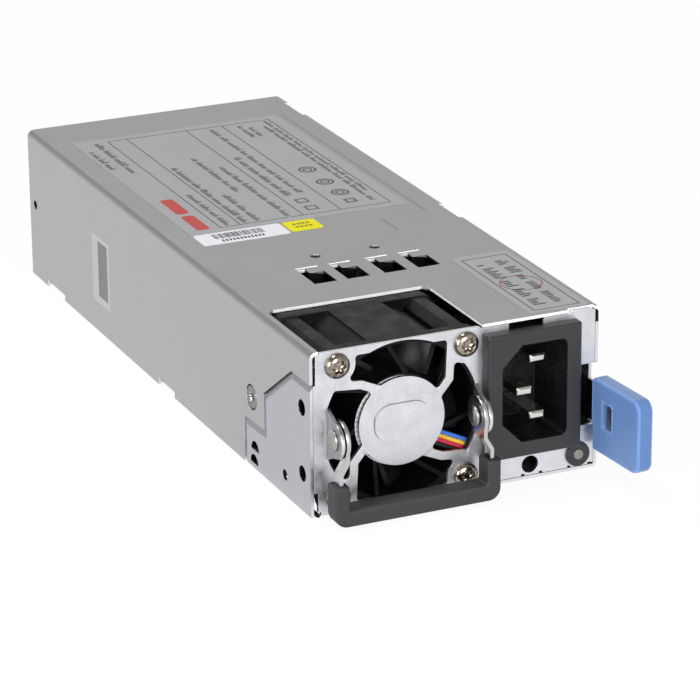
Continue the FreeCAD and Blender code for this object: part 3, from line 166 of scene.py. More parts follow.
# Painted shade: near-black steel in the louvers' tabs and openings, the bracket's corners, slots and edges,
# the side's holes and the front's slot.
painted_shade_steel = finish("electrogalvanised_steel_painted_shade", "2a2a2b", roughness=0.5, grain_mm=0.4, metallic=1.0,
                   patch_mm=4.0, tone=0.1, bump_mm=0.002)
# The same sheet where a punch coined it: the sloped rim painted bright as a highlight, the field inside it
# greyer.
coined_rim_highlight = finish("electrogalvanised_steel_coined_highlight", "c4c4c4", roughness=0.4, grain_mm=0.4, metallic=1.0,
                    patch_mm=6.0, tone=0.04, rub=0.05, bump_mm=0.001)
coined_field = finish("electrogalvanised_steel_pressed", "8c8c8e", roughness=0.55, grain_mm=0.4,
                      metallic=1.0, patch_mm=6.0, tone=0.06, rub=0.05, bump_mm=0.002)
# Stamped zinc-plated steel of the front: bright, pearly and fine.
zinc_panel = finish("zinc_plated_steel_stamped", "d9dadf", roughness=0.42, grain_mm=0.45, metallic=1.0,
                    patch_mm=4.0, tone=0.08, rub=0.09, bump_mm=0.006)
# A duller grey zinc on the sides of the front's ears, and painted shade on the upper side of the disc's
# stadium outline.
dull_and_shaded_zinc = finish("zinc_plated_steel_dull_and_shaded", "a6a6a8", roughness=0.4, grain_mm=0.5, metallic=1.0,
                  patch_mm=3.0, tone=0.1, rub=0.08)
# Sheared edges of the sheets: bare bright steel with short vertical drag marks; also the painted highlight on
# the front plate's rounded edges and on the lower side of the disc's stadium outline.
sheared_edge_and_highlight = finish("steel_sheared_edge", "dfe0e4", roughness=0.36, grain_mm=cut_grain_mm,
                      metallic=1.0, patch_mm=3.0, rub=0.08, bump_mm=0.003)
# The roof's punched edges: painted white and less metallic, as a highlight along the cut.
broken_edge_highlight = finish("steel_punched_edge_highlight", "ffffff", roughness=0.45, grain_mm=cut_grain_mm,
                     metallic=0.2, patch_mm=3.0, tone=0.03, rub=0.08, bump_mm=0.003)
# Nickel-plated steel, barrel plated: warm and shiny, with small light and dark patches as painted reflections
# and a painted dark rim where it turns away.
nickel_plate = finish("nickel_plated_steel", "a2988b", roughness=0.12, grain_mm=0.9, metallic=1.0,
                      patch_mm=1.1, tone=0.5, rub=0.08, bump_mm=0.01, rim=1.0)
# Mild steel rivets, zinc plated and dulled by the riveting tool.
rivet_steel = finish("rivet_steel_zinc_plated", "aaa8a6", roughness=0.34, grain_mm=0.4, metallic=1.0,
                     patch_mm=1.2, tone=0.1, rub=0.08)
# Zinc-plated screw, barrel plated: greyer than nickel, soft shine, with a painted dark rim where it turns
# away.
zinc_screw = finish("zinc_plated_screw", "b8b8ba", roughness=0.28, grain_mm=0.3, metallic=1.0, patch_mm=1.5,
                    tone=0.08, bump_mm=0.003, rim=0.9)
# Spring steel strip, bright rolled: neutral, smooth, faint lengthwise lines.
spring_strip = finish("spring_steel_bright_rolled", "c6c6c4", roughness=0.26, grain_mm=(0.15, 1.5, 0.15),
                      metallic=1.0, patch_mm=4.0, bump_mm=0.002)
# Glass-filled PBT, moulded: near black with a fine dull grain.
black_pbt = finish("pbt_glass_filled_moulded", "0c0b0b", roughness=0.46, grain_mm=0.25, patch_mm=5.0,
                   tone=0.12, rub=0.08, bump_mm=0.006, **{"Specular IOR Level": 0.16})
# The rotor's PBT, balanced and wiped: smoother, so its blades and hub catch the light through the guard.
rotor_pbt = finish("pbt_rotor_moulded", "19191a", roughness=0.34, grain_mm=0.25, patch_mm=5.0, tone=0.1,
                   bump_mm=0.003, **{"Specular IOR Level": 0.3})
# Polyamide, moulded in a spark-eroded tool: dark grey, even fine texture that greys at glancing angles.
grey_nylon = finish("polyamide_moulded_dark_grey", "292a2d", roughness=0.56, grain_mm=0.22, patch_mm=8.0,
                    tone=0.06, rub=0.05, bump_mm=0.012)
# The inlet's polyamide, smoother and a little darker.
inlet_nylon = finish("polyamide_moulded_inlet", "262628", roughness=0.44, grain_mm=0.2, patch_mm=7.0,
                     rub=0.05, bump_mm=0.006)
# Satin polyamide of the latch tab, moulded in blue.
blue_nylon = finish("polyamide_moulded_blue", "5377ad", roughness=0.42, grain_mm=0.3, patch_mm=9.0,
                    tone=0.03, rub=0.05, **{"Sheen Weight": 0.5, "Sheen Roughness": 0.35})
# The tab's rounded rims, painted a lighter blue as a highlight.
blue_rim_highlight = finish("polyamide_moulded_blue_rim", "678bc6", roughness=0.36, grain_mm=0.3, patch_mm=9.0,
                  tone=0.03, rub=0.05, **{"Sheen Weight": 0.5, "Sheen Roughness": 0.35})
# The inlet's socket, off a polished core: black and glossy, with faint flow marks.
socket_nylon = finish("polyamide_moulded_socket", "161517", roughness=0.3, grain_mm=0.2, patch_mm=3.5,
                      tone=0.2, rub=0.12, bump_mm=0.006)
# Brass blades, nickel plated and drawn smooth: bright, slightly warm metal.
pin_plate = finish("brass_nickel_plated", "dcdad4", roughness=0.22, grain_mm=0.3, metallic=1.0,
                   patch_mm=2.0, bump_mm=0.002)
# Brass, turned: yellow metal with fine rings round the bore.
turned_brass = finish("brass_turned", "c9a35a", roughness=0.3, grain_mm=(0.1, 0.1, 1.2), metallic=1.0,
                      patch_mm=3.0, tone=0.06, bump_mm=0.002)
# Epoxy laminate under green solder mask: glossy over a faint weave.
solder_mask = finish("epoxy_laminate_solder_mask", "1f5a35", roughness=0.35, grain_mm=0.6,
                     patch_mm=6.0, tone=0.12, rub=0.08)
# Copper contacts, gold plated: warm yellow metal, nearly smooth.
gold_plate = finish("copper_gold_plated", "d9b25a", roughness=0.24, grain_mm=0.2, metallic=1.0,
                    patch_mm=2.0, bump_mm=0.001)
# Sintered ferrite: dark, dull, with fine sparkle-free speckle.
ferrite = finish("ferrite_sintered", "3a3a3c", roughness=0.7, grain_mm=0.15, patch_mm=3.0, tone=0.15,
                 rub=0.05, bump_mm=0.01)
# Enamelled copper wire, close wound: bands of the wire's own pitch.
wound_copper = finish("copper_wire_enamelled_wound", "b5651d", roughness=0.32, grain_mm=(6.0, 6.0, 0.5),
                      patch_mm=4.0, tone=0.18, bump_mm=0.06)
# Polyester tape, wound: satin yellow with faint steps of the tape's width.
yellow_tape = finish("polyester_tape_wound", "d8b42a", roughness=0.38, grain_mm=(5.0, 5.0, 1.2),
                     patch_mm=5.0, rub=0.05, bump_mm=0.01)
# Polypropylene film capacitor's cast box: pale, dull beige.
grey_box = finish("polypropylene_cast_box", "c9c3a8", roughness=0.5, grain_mm=0.3, patch_mm=6.0, rub=0.05)
# Aluminium, extruded: soft grey with die lines along the case.
extruded_aluminium = finish("aluminium_extruded", "b9bbbd", roughness=0.36, grain_mm=(0.2, 6.0, 0.2),
                            metallic=1.0, patch_mm=8.0)
# Polyester sleeve, shrunk over aluminium cans: dark blue, thin and glossy.
shrink_sleeve = finish("polyester_shrink_sleeve", "23304f", roughness=0.3, grain_mm=0.5, patch_mm=6.0,
                       tone=0.06, bump_mm=0.003)
# Polyester insulating film, calendered: dark, flat and glossy.
insulating_film = finish("polyester_film_calendered", "2a2a2c", roughness=0.25, grain_mm=1.0, patch_mm=9.0,
                         rub=0.05, bump_mm=0.002)
# Natural polyamide, moulded as small snap-in parts: milky and satin.
natural_nylon = finish("polyamide_natural_moulded", "e2dfd2", roughness=0.45, grain_mm=0.4, patch_mm=4.0,
                       tone=0.03, rub=0.05)
# Glass tube, drawn: clear, with hard smooth highlights.
drawn_glass = finish("glass_drawn", "dfe6e2", roughness=0.08, grain_mm=1.0, patch_mm=5.0, tone=0.02,
                     rub=0.02, bump_mm=0.001, **{"Transmission Weight": 0.8})
# Diffused epoxy, cast as the indicator's lens: milky grey with a soft shine.
lens_epoxy = finish("epoxy_cast_diffused", "8d9088", roughness=0.25, grain_mm=0.3, patch_mm=1.2, tone=0.1,
                    rub=0.05, bump_mm=0.002, **{"Transmission Weight": 0.25})
# Polyester label stock, silvered: satin grey with a faint metal shine.
silver_label = finish("polyester_label_silver", "a2a2a4", roughness=0.42, grain_mm=0.4, metallic=0.35,
                      patch_mm=14.0, tone=0.02, rub=0.04, bump_mm=0.001)
# Coated paper label: even, matt and nearly white.
white_label = finish("paper_label_coated", "dfdde3", roughness=0.55, grain_mm=0.5, patch_mm=6.0, tone=0.015,
                     rub=0.04, bump_mm=0.001)
# Yellow paper label: flat and strong in colour.
yellow_label = finish("paper_label_yellow", "ddd700", roughness=0.55, grain_mm=0.5, patch_mm=5.0, tone=0.02,
                      rub=0.04, bump_mm=0.001, **{"Specular IOR Level": 0.15})
# Printing inks, dry: flat, a little uneven, without shine.
grey_ink = finish("label_ink_grey", "4a4a4d", roughness=0.6, grain_mm=0.3, patch_mm=3.0, tone=0.15,
                  rub=0.05, bump_mm=0.001)
black_ink = finish("label_ink_black", "2c2b2d", roughness=0.6, grain_mm=0.3, patch_mm=3.0, tone=0.15,
                   rub=0.05, bump_mm=0.001)
red_ink = finish("label_ink_red", "b0332b", roughness=0.5, grain_mm=0.3, patch_mm=3.0, tone=0.08, rub=0.05,
                 bump_mm=0.001)
ochre_ink = finish("label_ink_ochre", "8a7618", roughness=0.6, grain_mm=0.3, patch_mm=3.0, tone=0.1,
                   rub=0.05, bump_mm=0.001)
brown_ink = finish("label_ink_brown", "8c6a62", roughness=0.6, grain_mm=0.3, patch_mm=3.0, tone=0.1,
                   rub=0.05, bump_mm=0.001)
# PVC insulation of the fan's leads, extruded: plain bright colours with a soft shine.
lead_colours = {"blue": "3f76d8", "yellow": "f2c044", "red": "c8304e", "black": "1c1c1e"}
lead_pvc = {name: finish("pvc_extruded_" + name, code, roughness=0.38, grain_mm=0.3, patch_mm=2.0, rub=0.05,
                         bump_mm=0.002) for name, code in lead_colours.items()}


# ---------------------------------------------------------------- mesh helpers
weld_mm = 0.002
# two faces that meet at less than the first are one, at more than the second an edge to round, and at more
# than the third a square corner
flat_turn = math.radians(1)
sharp_turn = math.radians(40)
square_turn = math.radians(60)
# a strip's long edges are longer than its width by this
long_share = 1.2
# How squarely a face looks along an axis: the share of its normal there, from all of it to hardly any.
flat = 0.999
straight = 0.99
nearly = 0.95
mostly = 0.7
half = 0.5
bent = 0.35
partly = 0.3
hardly = 0.2


def new_piece(name, mesh, body, slot, *materials):
    """Turn a bmesh into a piece that rides on a body."""
    data = bpy.data.meshes.new(name)
    mesh.to_mesh(data)
    mesh.free()
    for material in materials:
        data.materials.append(material)
    piece = bpy.data.objects.new(name, data)
    bpy.context.scene.collection.objects.link(piece)
    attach(piece, body)
    return piece


def smooth(mesh, angle=35.0):
    """Smooth faces, sharp only where two of them meet at more than an angle."""
    limit = math.radians(angle)
    for face in mesh.faces:
        face.smooth = True
    for edge in mesh.edges:
        edge.smooth = len(edge.link_faces) == 2 and edge.calc_face_angle() < limit


def is_cut_edge(face, edge_mm, lowest):
    """Whether a face is a sheet's sheared edge: a narrow strip that meets both its neighbours squarely.

    It has to be narrower than edge_mm, above the lowest height and not turned down.
    """
    width = 2 * face.calc_area() / sum(edge.calc_length() for edge in face.edges)
    long_edges = [edge for edge in face.edges if edge.calc_length() > long_share * width]
    square = all(edge.calc_face_angle(0) > square_turn for edge in long_edges)
    # edges turned down are left out, as the bright edge colour is partly a painted highlight
    looks_down = face.normal.z <= -half
    high = face.calc_center_median().z > lowest
    return width < edge_mm * MM and square and high and not looks_down


def softened(name, source, body, slot, round_mm, materials, edge_mm=0.0, rim=-1, lowest=0.0):
    """A copy of a CAD piece with its sharp edges rounded as a press or mould leaves them.

    Where edge_mm is given, cut edges narrower than that and above the lowest height take the second
    material. The rounded edges take the material numbered rim, or their neighbour's.
    """
    mesh = bmesh.new()
    mesh.from_mesh(nodes[source].data)
    bmesh.ops.remove_doubles(mesh, verts=mesh.verts, dist=weld_mm * MM)
    bmesh.ops.dissolve_limit(mesh, angle_limit=flat_turn, verts=mesh.verts, edges=mesh.edges)
    for face in mesh.faces:
        face.material_index = int(is_cut_edge(face, edge_mm, lowest))
    bmesh.ops.connect_verts_concave(mesh, faces=mesh.faces)
    sharp = [edge for edge in mesh.edges
             if len(edge.link_faces) == 2 and edge.calc_face_angle() > sharp_turn]
    bmesh.ops.bevel(mesh, geom=sharp, offset=round_mm * MM, segments=2, profile=0.5, affect="EDGES",
                    clamp_overlap=False, loop_slide=False, material=rim)
    low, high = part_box(source)
    for vertex in mesh.verts:
        vertex.co = [min(max(place, least), most) for place, least, most in zip(vertex.co, low, high)]
    smooth(mesh)
    piece = new_piece(name, mesh, body, slot, *materials)
    piece.modifiers.new("even_normals", "WEIGHTED_NORMAL").keep_sharp = True
    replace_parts(piece, source)
    return piece


def paint(piece, coat_of):
    """Give each face of a piece the material that coat_of names for it, if it names one."""
    coats = list(piece.data.materials)
    for face in piece.data.polygons:
        coat = coat_of(face)
        if coat is not None:
            face.material_index = coats.index(coat)


def turned_form(mesh, rings, place, axis, steps=48, lobes=6):
    """Add rings of (radius, height, lobe depth) in mm about an axis, closed at both ends."""
    turn = axis.to_track_quat("Z", "Y").to_matrix()
    loops = []
    for radius, height, lobe in rings:
        loop = []
        for i in range(steps):
            angle = 2 * math.pi * i / steps
            reach = radius * (1 + lobe * math.cos(lobes * angle))
            point = Vector((reach * math.cos(angle), reach * math.sin(angle), height)) * MM
            loop.append(mesh.verts.new(place + turn @ point))
        loops.append(loop)
    for low, high in zip(loops, loops[1:]):
        for i in range(steps):
            j = (i + 1) % steps
            mesh.faces.new((low[i], low[j], high[j], high[i]))
    mesh.faces.new(loops[0][::-1])
    mesh.faces.new(loops[-1])


def plate(mesh, low, high, z, thick_mm, corner_mm=0.0, steps=5):
    """Add a flat plate with rounded corners, lying on a height."""
    radius = corner_mm * MM
    outline = []
    for cx, cy, start in ((high[0] - radius, high[1] - radius, 0), (low[0] + radius, high[1] - radius, 90),
                          (low[0] + radius, low[1] + radius, 180), (high[0] - radius, low[1] + radius, 270)):
        turns = [start + 90 * i / steps for i in range(steps + 1)] if radius else [start]
        for turn in turns:
            angle = math.radians(turn)
            outline.append((cx + radius * math.cos(angle), cy + radius * math.sin(angle)))
    bottom = [mesh.verts.new((x, y, z)) for x, y in outline]
    top = [mesh.verts.new((x, y, z + thick_mm * MM)) for x, y in outline]
    mesh.faces.new(bottom[::-1])
    mesh.faces.new(top)
    for i in range(len(outline)):
        j = (i + 1) % len(outline)
        mesh.faces.new((bottom[i], bottom[j], top[j], top[i]))


# ---------------------------------------------------------------- places and print on the roof
word_mm = (3.0, 9.0)
letter_shares = (0.55, 0.62, 0.7, 1.0)
stroke_share = 0.6
space_pitches = 1.4


def from_left(x_mm):
    """A place so far in from the case's left side."""
    return case_low.x + x_mm * MM


def behind(y_mm):
    """A place so far behind the case's front."""
    return front_y + y_mm * MM


def deck(x_mm, y_mm):
    """A place on the roof: millimetres from the case's centreline and behind its front."""
    return x_mm * MM, behind(y_mm)


def printed_bar(mesh, x, y, z):
    """Add one flat bar of ink: x and y are (low, high) in mm on the roof."""
    (x0, y0), (x1, y1) = deck(x[0], y[0]), deck(x[1], y[1])
    plate(mesh, (x0, y0), (x1, y1), z, ink_mm)


def greeked_line(mesh, x_mm, span, height_mm, z, pitch=0.62):
    """Add a line of meaningless ticks in word-long groups, running back along the case."""
    foot = x_mm - height_mm / 2
    y = span[0]
    while y < span[1]:
        word = min(y + random.uniform(*word_mm), span[1])
        while y < word:
            tall = height_mm * random.choice(letter_shares)
            printed_bar(mesh, (foot, foot + tall), (y, y + pitch * stroke_share), z)
            y += pitch
        y += pitch * space_pitches


def border(mesh, x, y, width, z):
    """Add the four bars of a ruled frame."""
    printed_bar(mesh, (x[0], x[0] + width), y, z)
    printed_bar(mesh, (x[1] - width, x[1]), y, z)
    printed_bar(mesh, (x[0] + width, x[1] - width), (y[0], y[0] + width), z)
    printed_bar(mesh, (x[0] + width, x[1] - width), (y[1] - width, y[1]), z)


def printed_ring(mesh, x_mm, y_mm, radius, width, z, steps=32):
    """Add a flat ring of ink."""
    cx, cy = deck(x_mm, y_mm)
    loops = []
    for reach, height in ((radius, 0), (radius, ink_mm), (radius - width, ink_mm), (radius - width, 0)):
        loops.append([mesh.verts.new((cx + reach * MM * math.cos(2 * math.pi * i / steps),
                                      cy + reach * MM * math.sin(2 * math.pi * i / steps),
                                      z + height * MM)) for i in range(steps)])
    for low, high in zip(loops, loops[1:] + loops[:1]):
        for i in range(steps):
            j = (i + 1) % steps
            mesh.faces.new((low[i], low[j], high[j], high[i]))


# ---------------------------------------------------------------- sheet metal and mouldings
# the left side: its sheet's thickness, its outer face, and the whole sheet with a little to spare
sheet_mm = 0.8
side_face_mm = 0.2
side_sheet_mm = 1.1
# the roof's sheet with a little to spare, and a distance that is clear of both sides
roof_sheet_mm = 1.0
clear_mm = 2.0
# the frame that a punch pressed into the cover's left side
pressed_mm = 0.5
pressed_y_mm = (126.0, 138.0)
pressed_z_mm = (8.0, 26.0)
pressed_low = Vector((case_low.x, behind(pressed_y_mm[0]), case_low.z + pressed_z_mm[0] * MM))
pressed_high = Vector((from_left(pressed_mm), behind(pressed_y_mm[1]), case_low.z + pressed_z_mm[1] * MM))
# the louvers in the roof, over their tabs
louvers_y_mm = (41.0, 52.4)
louvers_end_mm = 15.0
tab_top_mm = 0.9
tabs_low = Vector((case_low.x, behind(louvers_y_mm[0]), case_low.z))
tabs_high = Vector((case_high.x - louvers_end_mm * MM, behind(louvers_y_mm[1]), roof_z - tab_top_mm * MM))
# the small round hole near the left side's rear: its place from the rear and the foot, and its reach
hole_rear_mm = 4.3
hole_height_mm = 20.4
hole_reach_mm = 1.3
side_hole = Vector((case_low.x, case_high.y - hole_rear_mm * MM, case_low.z + hole_height_mm * MM))
# the cover's edge over the bracket: how far back it runs, and the heights that it lies between
bracket_back_mm = 39.0
bracket_z_mm = (1.0, 33.0)
# the tray's bracket: its length, its floor's top and inner corner, and the edges of its slots
front_edge_mm = 0.2
bracket_length_mm = 45.0
bracket_corner_mm = 2.6
floor_top_mm = 1.3
slot_depth_mm = 2.0
slot_edge_mm2 = 0.7
border_foot_mm = 2.0
# the front's ears stand out by more than the first, and the disc's stadium by more than the second
ear_out_mm = 0.5
stadium_out_mm = 0.01
# the inlet's bezel ends and its socket starts this far behind its front
bezel_front_mm = 0.5
# the slot at the front's lower left: its inner side, from the centreline, and its top
slot_x_mm = -34.0
slot_top_mm = 6.2


def within(place, low, high):
    """Whether a place lies in a box."""
    return all(least <= part <= most for least, part, most in zip(low, place, high))


def cover_coat(face):
    """The cover's finish: a painted highlight on the coined frame's rim, painted light on the left side's
    face, bright cut edges at its front, and painted shade on the roof's left bend, the bracket's edge, the
    side hole and the louvers.
    """
    (x, y, z), normal = face.center, face.normal
    in_side = x < from_left(side_sheet_mm)
    in_louvers = tabs_low.y < y < tabs_high.y and not in_side and x < tabs_high.x
    # the coined frame: a painted highlight on its sloped rim, the field inside it darker
    if within(face.center, pressed_low, pressed_high):
        return coined_field if abs(normal.x) > flat else coined_rim_highlight
    # painted shade on faces turned up and to the left, as on the roof's left bend
    if normal.x < -bent and normal.z > bent:
        return bend_shade
    # painted shade on the cover's edges over the bracket
    if (in_side and y < behind(bracket_back_mm) and bracket_z_mm[0] * MM < z < bracket_z_mm[1] * MM
            and abs(normal.z) > partly):
        return painted_shade_steel
    # painted shade on the walls of the side hole
    if in_side and (face.center - side_hole).yz.length < hole_reach_mm * MM and normal.x > -straight:
        return painted_shade_steel
    # painted light: the left side's outer face takes a brighter copy of the sheet
    if normal.x < -straight and x < from_left(side_face_mm):
        return lit_side_zinc
    if in_side and normal.y < -mostly and z < roof_z - roof_sheet_mm * MM:
        return sheared_edge_and_highlight
    # painted shade in the louvers' openings and, in the next test, on their tabs
    if in_louvers and z > tabs_high.z and normal.x < -mostly:
        return painted_shade_steel
    if within(face.center, tabs_low, tabs_high) and abs(x) < abs(case_low.x) - clear_mm * MM:
        return painted_shade_steel
    return None


def tray_coat(face):
    """The tray's finish: painted shade in the bracket's corner, its slots and small holes, and on its joggled
    border.
    """
    (x, y, z), normal = face.center, face.normal
    in_side = x < from_left(side_sheet_mm)
    hidden = y < behind(front_edge_mm) or normal.x > hardly or normal.z > hardly
    in_corner = from_left(sheet_mm) < x < from_left(bracket_corner_mm) and z < floor_top_mm * MM
    # painted shade in the bracket's inner corner
    if in_corner and y < behind(bracket_length_mm) and hidden:
        return painted_shade_steel
    # painted shade on the edges of the slot at the front
    if normal.y < -mostly and behind(front_edge_mm) < y < behind(slot_depth_mm):
        return painted_shade_steel
    # painted shade on the walls of the side's small holes
    if in_side and abs(normal.x) < hardly and face.area < slot_edge_mm2 * MM ** 2:
        return painted_shade_steel
    # painted shade on the joggled border's slopes
    if in_side and -straight < normal.x < -partly and z > border_foot_mm * MM:
        return joggle_shade
    return None


def panel_coat(face):
    """The front's finish: dull ears, painted shade in the slot at the lower left, and the stadium's outline
    with painted shade above and a painted highlight below.
    """
    (x, y, z), normal = face.center, face.normal
    if y < behind(-ear_out_mm) and abs(normal.x) > mostly:
        return dull_and_shaded_zinc
    # painted shade in the slot at the front's lower left
    if normal.x < -half and x < slot_x_mm * MM and z < slot_top_mm * MM:
        return painted_shade_steel
    # the stadium's outline: painted shade on its upper side, a painted highlight on its lower side
    if y < behind(-stadium_out_mm) and abs(normal.y) < nearly:
        return dull_and_shaded_zinc if normal.z - normal.x > 0 else sheared_edge_and_highlight
    return None


def inlet_coat(face):
    """The inlet's socket: the faces behind its front that look in at the blades or out of its bottom."""
    inward = socket_middle - face.center
    inward.y = 0.0
    in_socket = face.normal.dot(inward) > 0 or face.normal.y < -mostly
    return socket_nylon if in_socket and face.center.y > inlet_low.y + bezel_front_mm * MM else None


# a sheared edge is narrower than this: a little over the thickness of the case's sheets and the front's
# plate. The cover's lie above the last of these, measured down from the roof.
case_edge_mm = 0.85
panel_edge_mm = 0.95
roof_edge_mm = 1.5
# the roof's cut edges take the white edge colour as a painted highlight
cover = softened("cover_sheet", "top_cover", "case", "zinc_sheet", round_mm=0.1,
                 materials=(zinc_sheet, broken_edge_highlight, coined_rim_highlight, coined_field, bend_shade, painted_shade_steel,
                            lit_side_zinc, sheared_edge_and_highlight), edge_mm=case_edge_mm, lowest=roof_z - roof_edge_mm * MM)
paint(cover, cover_coat)
tray = softened("tray_sheet", "base_chassis", "case", "zinc_sheet", round_mm=0.06,
                materials=(zinc_tray, sheared_edge_and_highlight, joggle_shade, painted_shade_steel), edge_mm=case_edge_mm)
paint(tray, tray_coat)
# the front plate's rounded edges take the bright edge colour as a painted highlight
panel = softened("front_plate", "front_panel", "case", "panel_steel", round_mm=0.08,
                 materials=(zinc_panel, sheared_edge_and_highlight, dull_and_shaded_zinc, painted_shade_steel), edge_mm=panel_edge_mm, rim=1)
paint(panel, panel_coat)
softened("rear_plate", "rear_panel", "case", "zinc_sheet", round_mm=0.1,
         materials=(zinc_tray, sheared_edge_and_highlight), edge_mm=case_edge_mm)
fan_body = softened("fan_body", "fan_frame", "case", "black_pbt", round_mm=0.2, materials=(black_pbt,))
# the moulding shrinks: its top sits just under the roof's skin, so the cut edge behind it shows
shrunk_mm = 3.0
shrink_share = 0.27
for vertex in fan_body.data.vertices:
    vertex.co.z -= max(0.0, vertex.co.z - roof_z + shrunk_mm * MM) * shrink_share
inlet_body = softened("inlet_body", "inlet_housing", "case", "grey_nylon", round_mm=0.25,
                      materials=(inlet_nylon, socket_nylon))
socket_middle = (blades_low + blades_high) / 2
paint(inlet_body, inlet_coat)
softened("inlet_blades", "inlet_pins", "case", "brass_pin", round_mm=0.12, materials=(pin_plate,))
softened("indicator_collar", "led_holder", "case", "black_pbt", round_mm=0.2, materials=(inlet_nylon,))
softened("bail_strip", "handle_bail", "handle", "nickel", round_mm=0.15, materials=(spring_strip,))
softened("grip_moulding", "handle_grip", "handle", "grey_nylon", round_mm=0.35, materials=(grey_nylon,))
softened("latch_spring", "latch_arm", "latch", "spring_steel", round_mm=0.1, materials=(spring_strip,))
# the tab's rounded edges take the lighter blue as a painted highlight
softened("latch_thumb_tab", "latch_tab", "latch", "blue_nylon", round_mm=0.6,
         materials=(blue_nylon, blue_rim_highlight), rim=1)

cad_finishes = {
    "fan_bearing": turned_brass, "fan_stator": ferrite, "fan_rotor": rotor_pbt, "fan_shaft": spring_strip,
    "fan_connector": natural_nylon, "inlet_board": solder_mask, "latch_anchor": spring_strip,
    "main_board": solder_mask, "gold_fingers": gold_plate, "insulating_sheet": insulating_film,
    "board_supports": natural_nylon, "fuse": drawn_glass, "emi_choke": ferrite, "x_capacitor": grey_box,
    "pfc_choke": wound_copper, "bulk_capacitor": shrink_sleeve, "heat_sink_primary": extruded_aluminium,
    "transformer_core": ferrite, "transformer_winding": yellow_tape,
    "heat_sink_secondary": extruded_aluminium, "output_capacitors": shrink_sleeve,
    "control_board": solder_mask,
}
for name, material in cad_finishes.items():
    nodes[name].data.materials.clear()
    nodes[name].data.materials.append(material)

# ---------------------------------------------------------------- screws and rivets
# each profile is rings of (radius, height, lobe depth) in mm, from the sheet outwards and in to the drive
screw_radius_mm = 3.0  # of the pan head
pan_head = [(2.95, 0.0, 0), (3.0, 0.1, 0), (3.0, 0.4, 0), (2.9, 0.75, 0), (2.6, 1.15, 0), (2.15, 1.45, 0),
            (1.8, 1.58, 0), (1.62, 1.6, 0.1), (1.5, 1.52, 0.16), (1.4, 0.7, 0.16), (1.25, 0.55, 0.16),
            (0.5, 0.4, 0)]
# the flush screw's head and the rivets' heads
flat_head = [(2.2, -0.6, 0), (2.8, -0.12, 0), (2.72, -0.02, 0), (2.6, 0.0, 0), (1.5, 0.0, 0.1),
             (1.35, -0.08, 0.17), (1.25, -1.1, 0.17), (0.4, -1.2, 0)]
rivet_head = [(2.3, 0.0, 0), (2.5, 0.1, 0), (2.5, 0.35, 0), (2.35, 0.55, 0), (1.9, 0.66, 0), (1.35, 0.7, 0),
              (1.2, 0.78, 0), (0.9, 0.8, 0), (0.45, 0.74, 0)]

head_low = screws_low + Vector((1, 0, 1)) * screw_radius_mm * MM
head_high = screws_high - Vector((1, 0, 1)) * screw_radius_mm * MM
heads = bmesh.new()
for x in (head_low.x, head_high.x):
    for z in (head_low.z, head_high.z):
        turned_form(heads, pan_head, Vector((x, front_y, z)), Vector((0, -1, 0)))
smooth(heads, angle=40)
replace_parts(new_piece("pan_head_screws", heads, "case", "nickel", nickel_plate), "fan_screws")

flush_low, flush_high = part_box("cover_screw")
flush_place = Vector((flush_low.x, (flush_low.y + flush_high.y) / 2, (flush_low.z + flush_high.z) / 2))
flush = bmesh.new()
turned_form(flush, flat_head, flush_place, Vector((-1, 0, 0)))
smooth(flush, angle=40)
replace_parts(new_piece("flush_screw", flush, "case", "nickel", zinc_screw), "cover_screw")

rivet_head_mm = 0.8
rivet_gap_mm = 2.5
rivet_shank_mm = 1.25
rivet_y = (rivets_low.y + rivets_high.y) / 2
rivet_z = (rivets_low.z + rivets_high.z) / 2
rivets = bmesh.new()
for outer_x, out in ((rivets_low.x + rivet_head_mm * MM, -1), (rivets_high.x - rivet_head_mm * MM, 1)):
    inner_x = outer_x - out * rivet_gap_mm * MM
    for x, way in ((outer_x, out), (inner_x, -out)):
        turned_form(rivets, rivet_head, Vector((x, rivet_y, rivet_z)), Vector((way, 0, 0)), steps=40)
    turned_form(rivets, [(rivet_shank_mm, 0, 0), (rivet_shank_mm, rivet_gap_mm, 0)],
                Vector((inner_x, rivet_y, rivet_z)), Vector((out, 0, 0)), steps=32)
smooth(rivets, angle=40)
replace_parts(new_piece("handle_pivot_rivets", rivets, "case", "nickel", rivet_steel), "handle_rivets")

# ---------------------------------------------------------------- indicator lens
lens_profile = [(1.25, -7.0, 0), (1.25, -0.25, 0), (1.1, -0.1, 0), (0.7, 0.0, 0), (0.2, 0.03, 0)]
lens_low, lens_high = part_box("led_lens")
lens_axis = Vector(((lens_low.x + lens_high.x) / 2, lens_low.y, (lens_low.z + lens_high.z) / 2))
lens = bmesh.new()
turned_form(lens, lens_profile, lens_axis, Vector((0, -1, 0)), steps=32)
smooth(lens)
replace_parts(new_piece("indicator_lens", lens, "case", "lens", lens_epoxy), "led_lens")

# ---------------------------------------------------------------- fan: sticker on the motor base and leads
# the sticker: how far the motor base lies behind the fan's front, its radius, rim and place off the axis
base_front_mm = 0.6
sticker_radius_mm = 10.75
sticker_rim_mm = 0.05
sticker_aside_mm = (-0.35, -0.2)
sticker = bmesh.new()
sticker_place = Vector((fan_centre.x + sticker_aside_mm[0] * MM, fan_low.y + base_front_mm * MM,
                        fan_centre.z + sticker_aside_mm[1] * MM))
turned_form(sticker, [(sticker_radius_mm, 0.0, 0), (sticker_radius_mm, label_mm, 0),
                      (sticker_radius_mm - sticker_rim_mm, label_mm, 0)],
            sticker_place, Vector((0, -1, 0)), steps=96)
new_piece("motor_sticker", sticker, "case", "black_pbt", white_label)
scale_marks = 56
scale_reach_mm = (9.9, 10.65)
scale_width_mm = 0.2
scale = bmesh.new()
lift = Vector((0, -label_mm - ink_mm, 0)) * MM
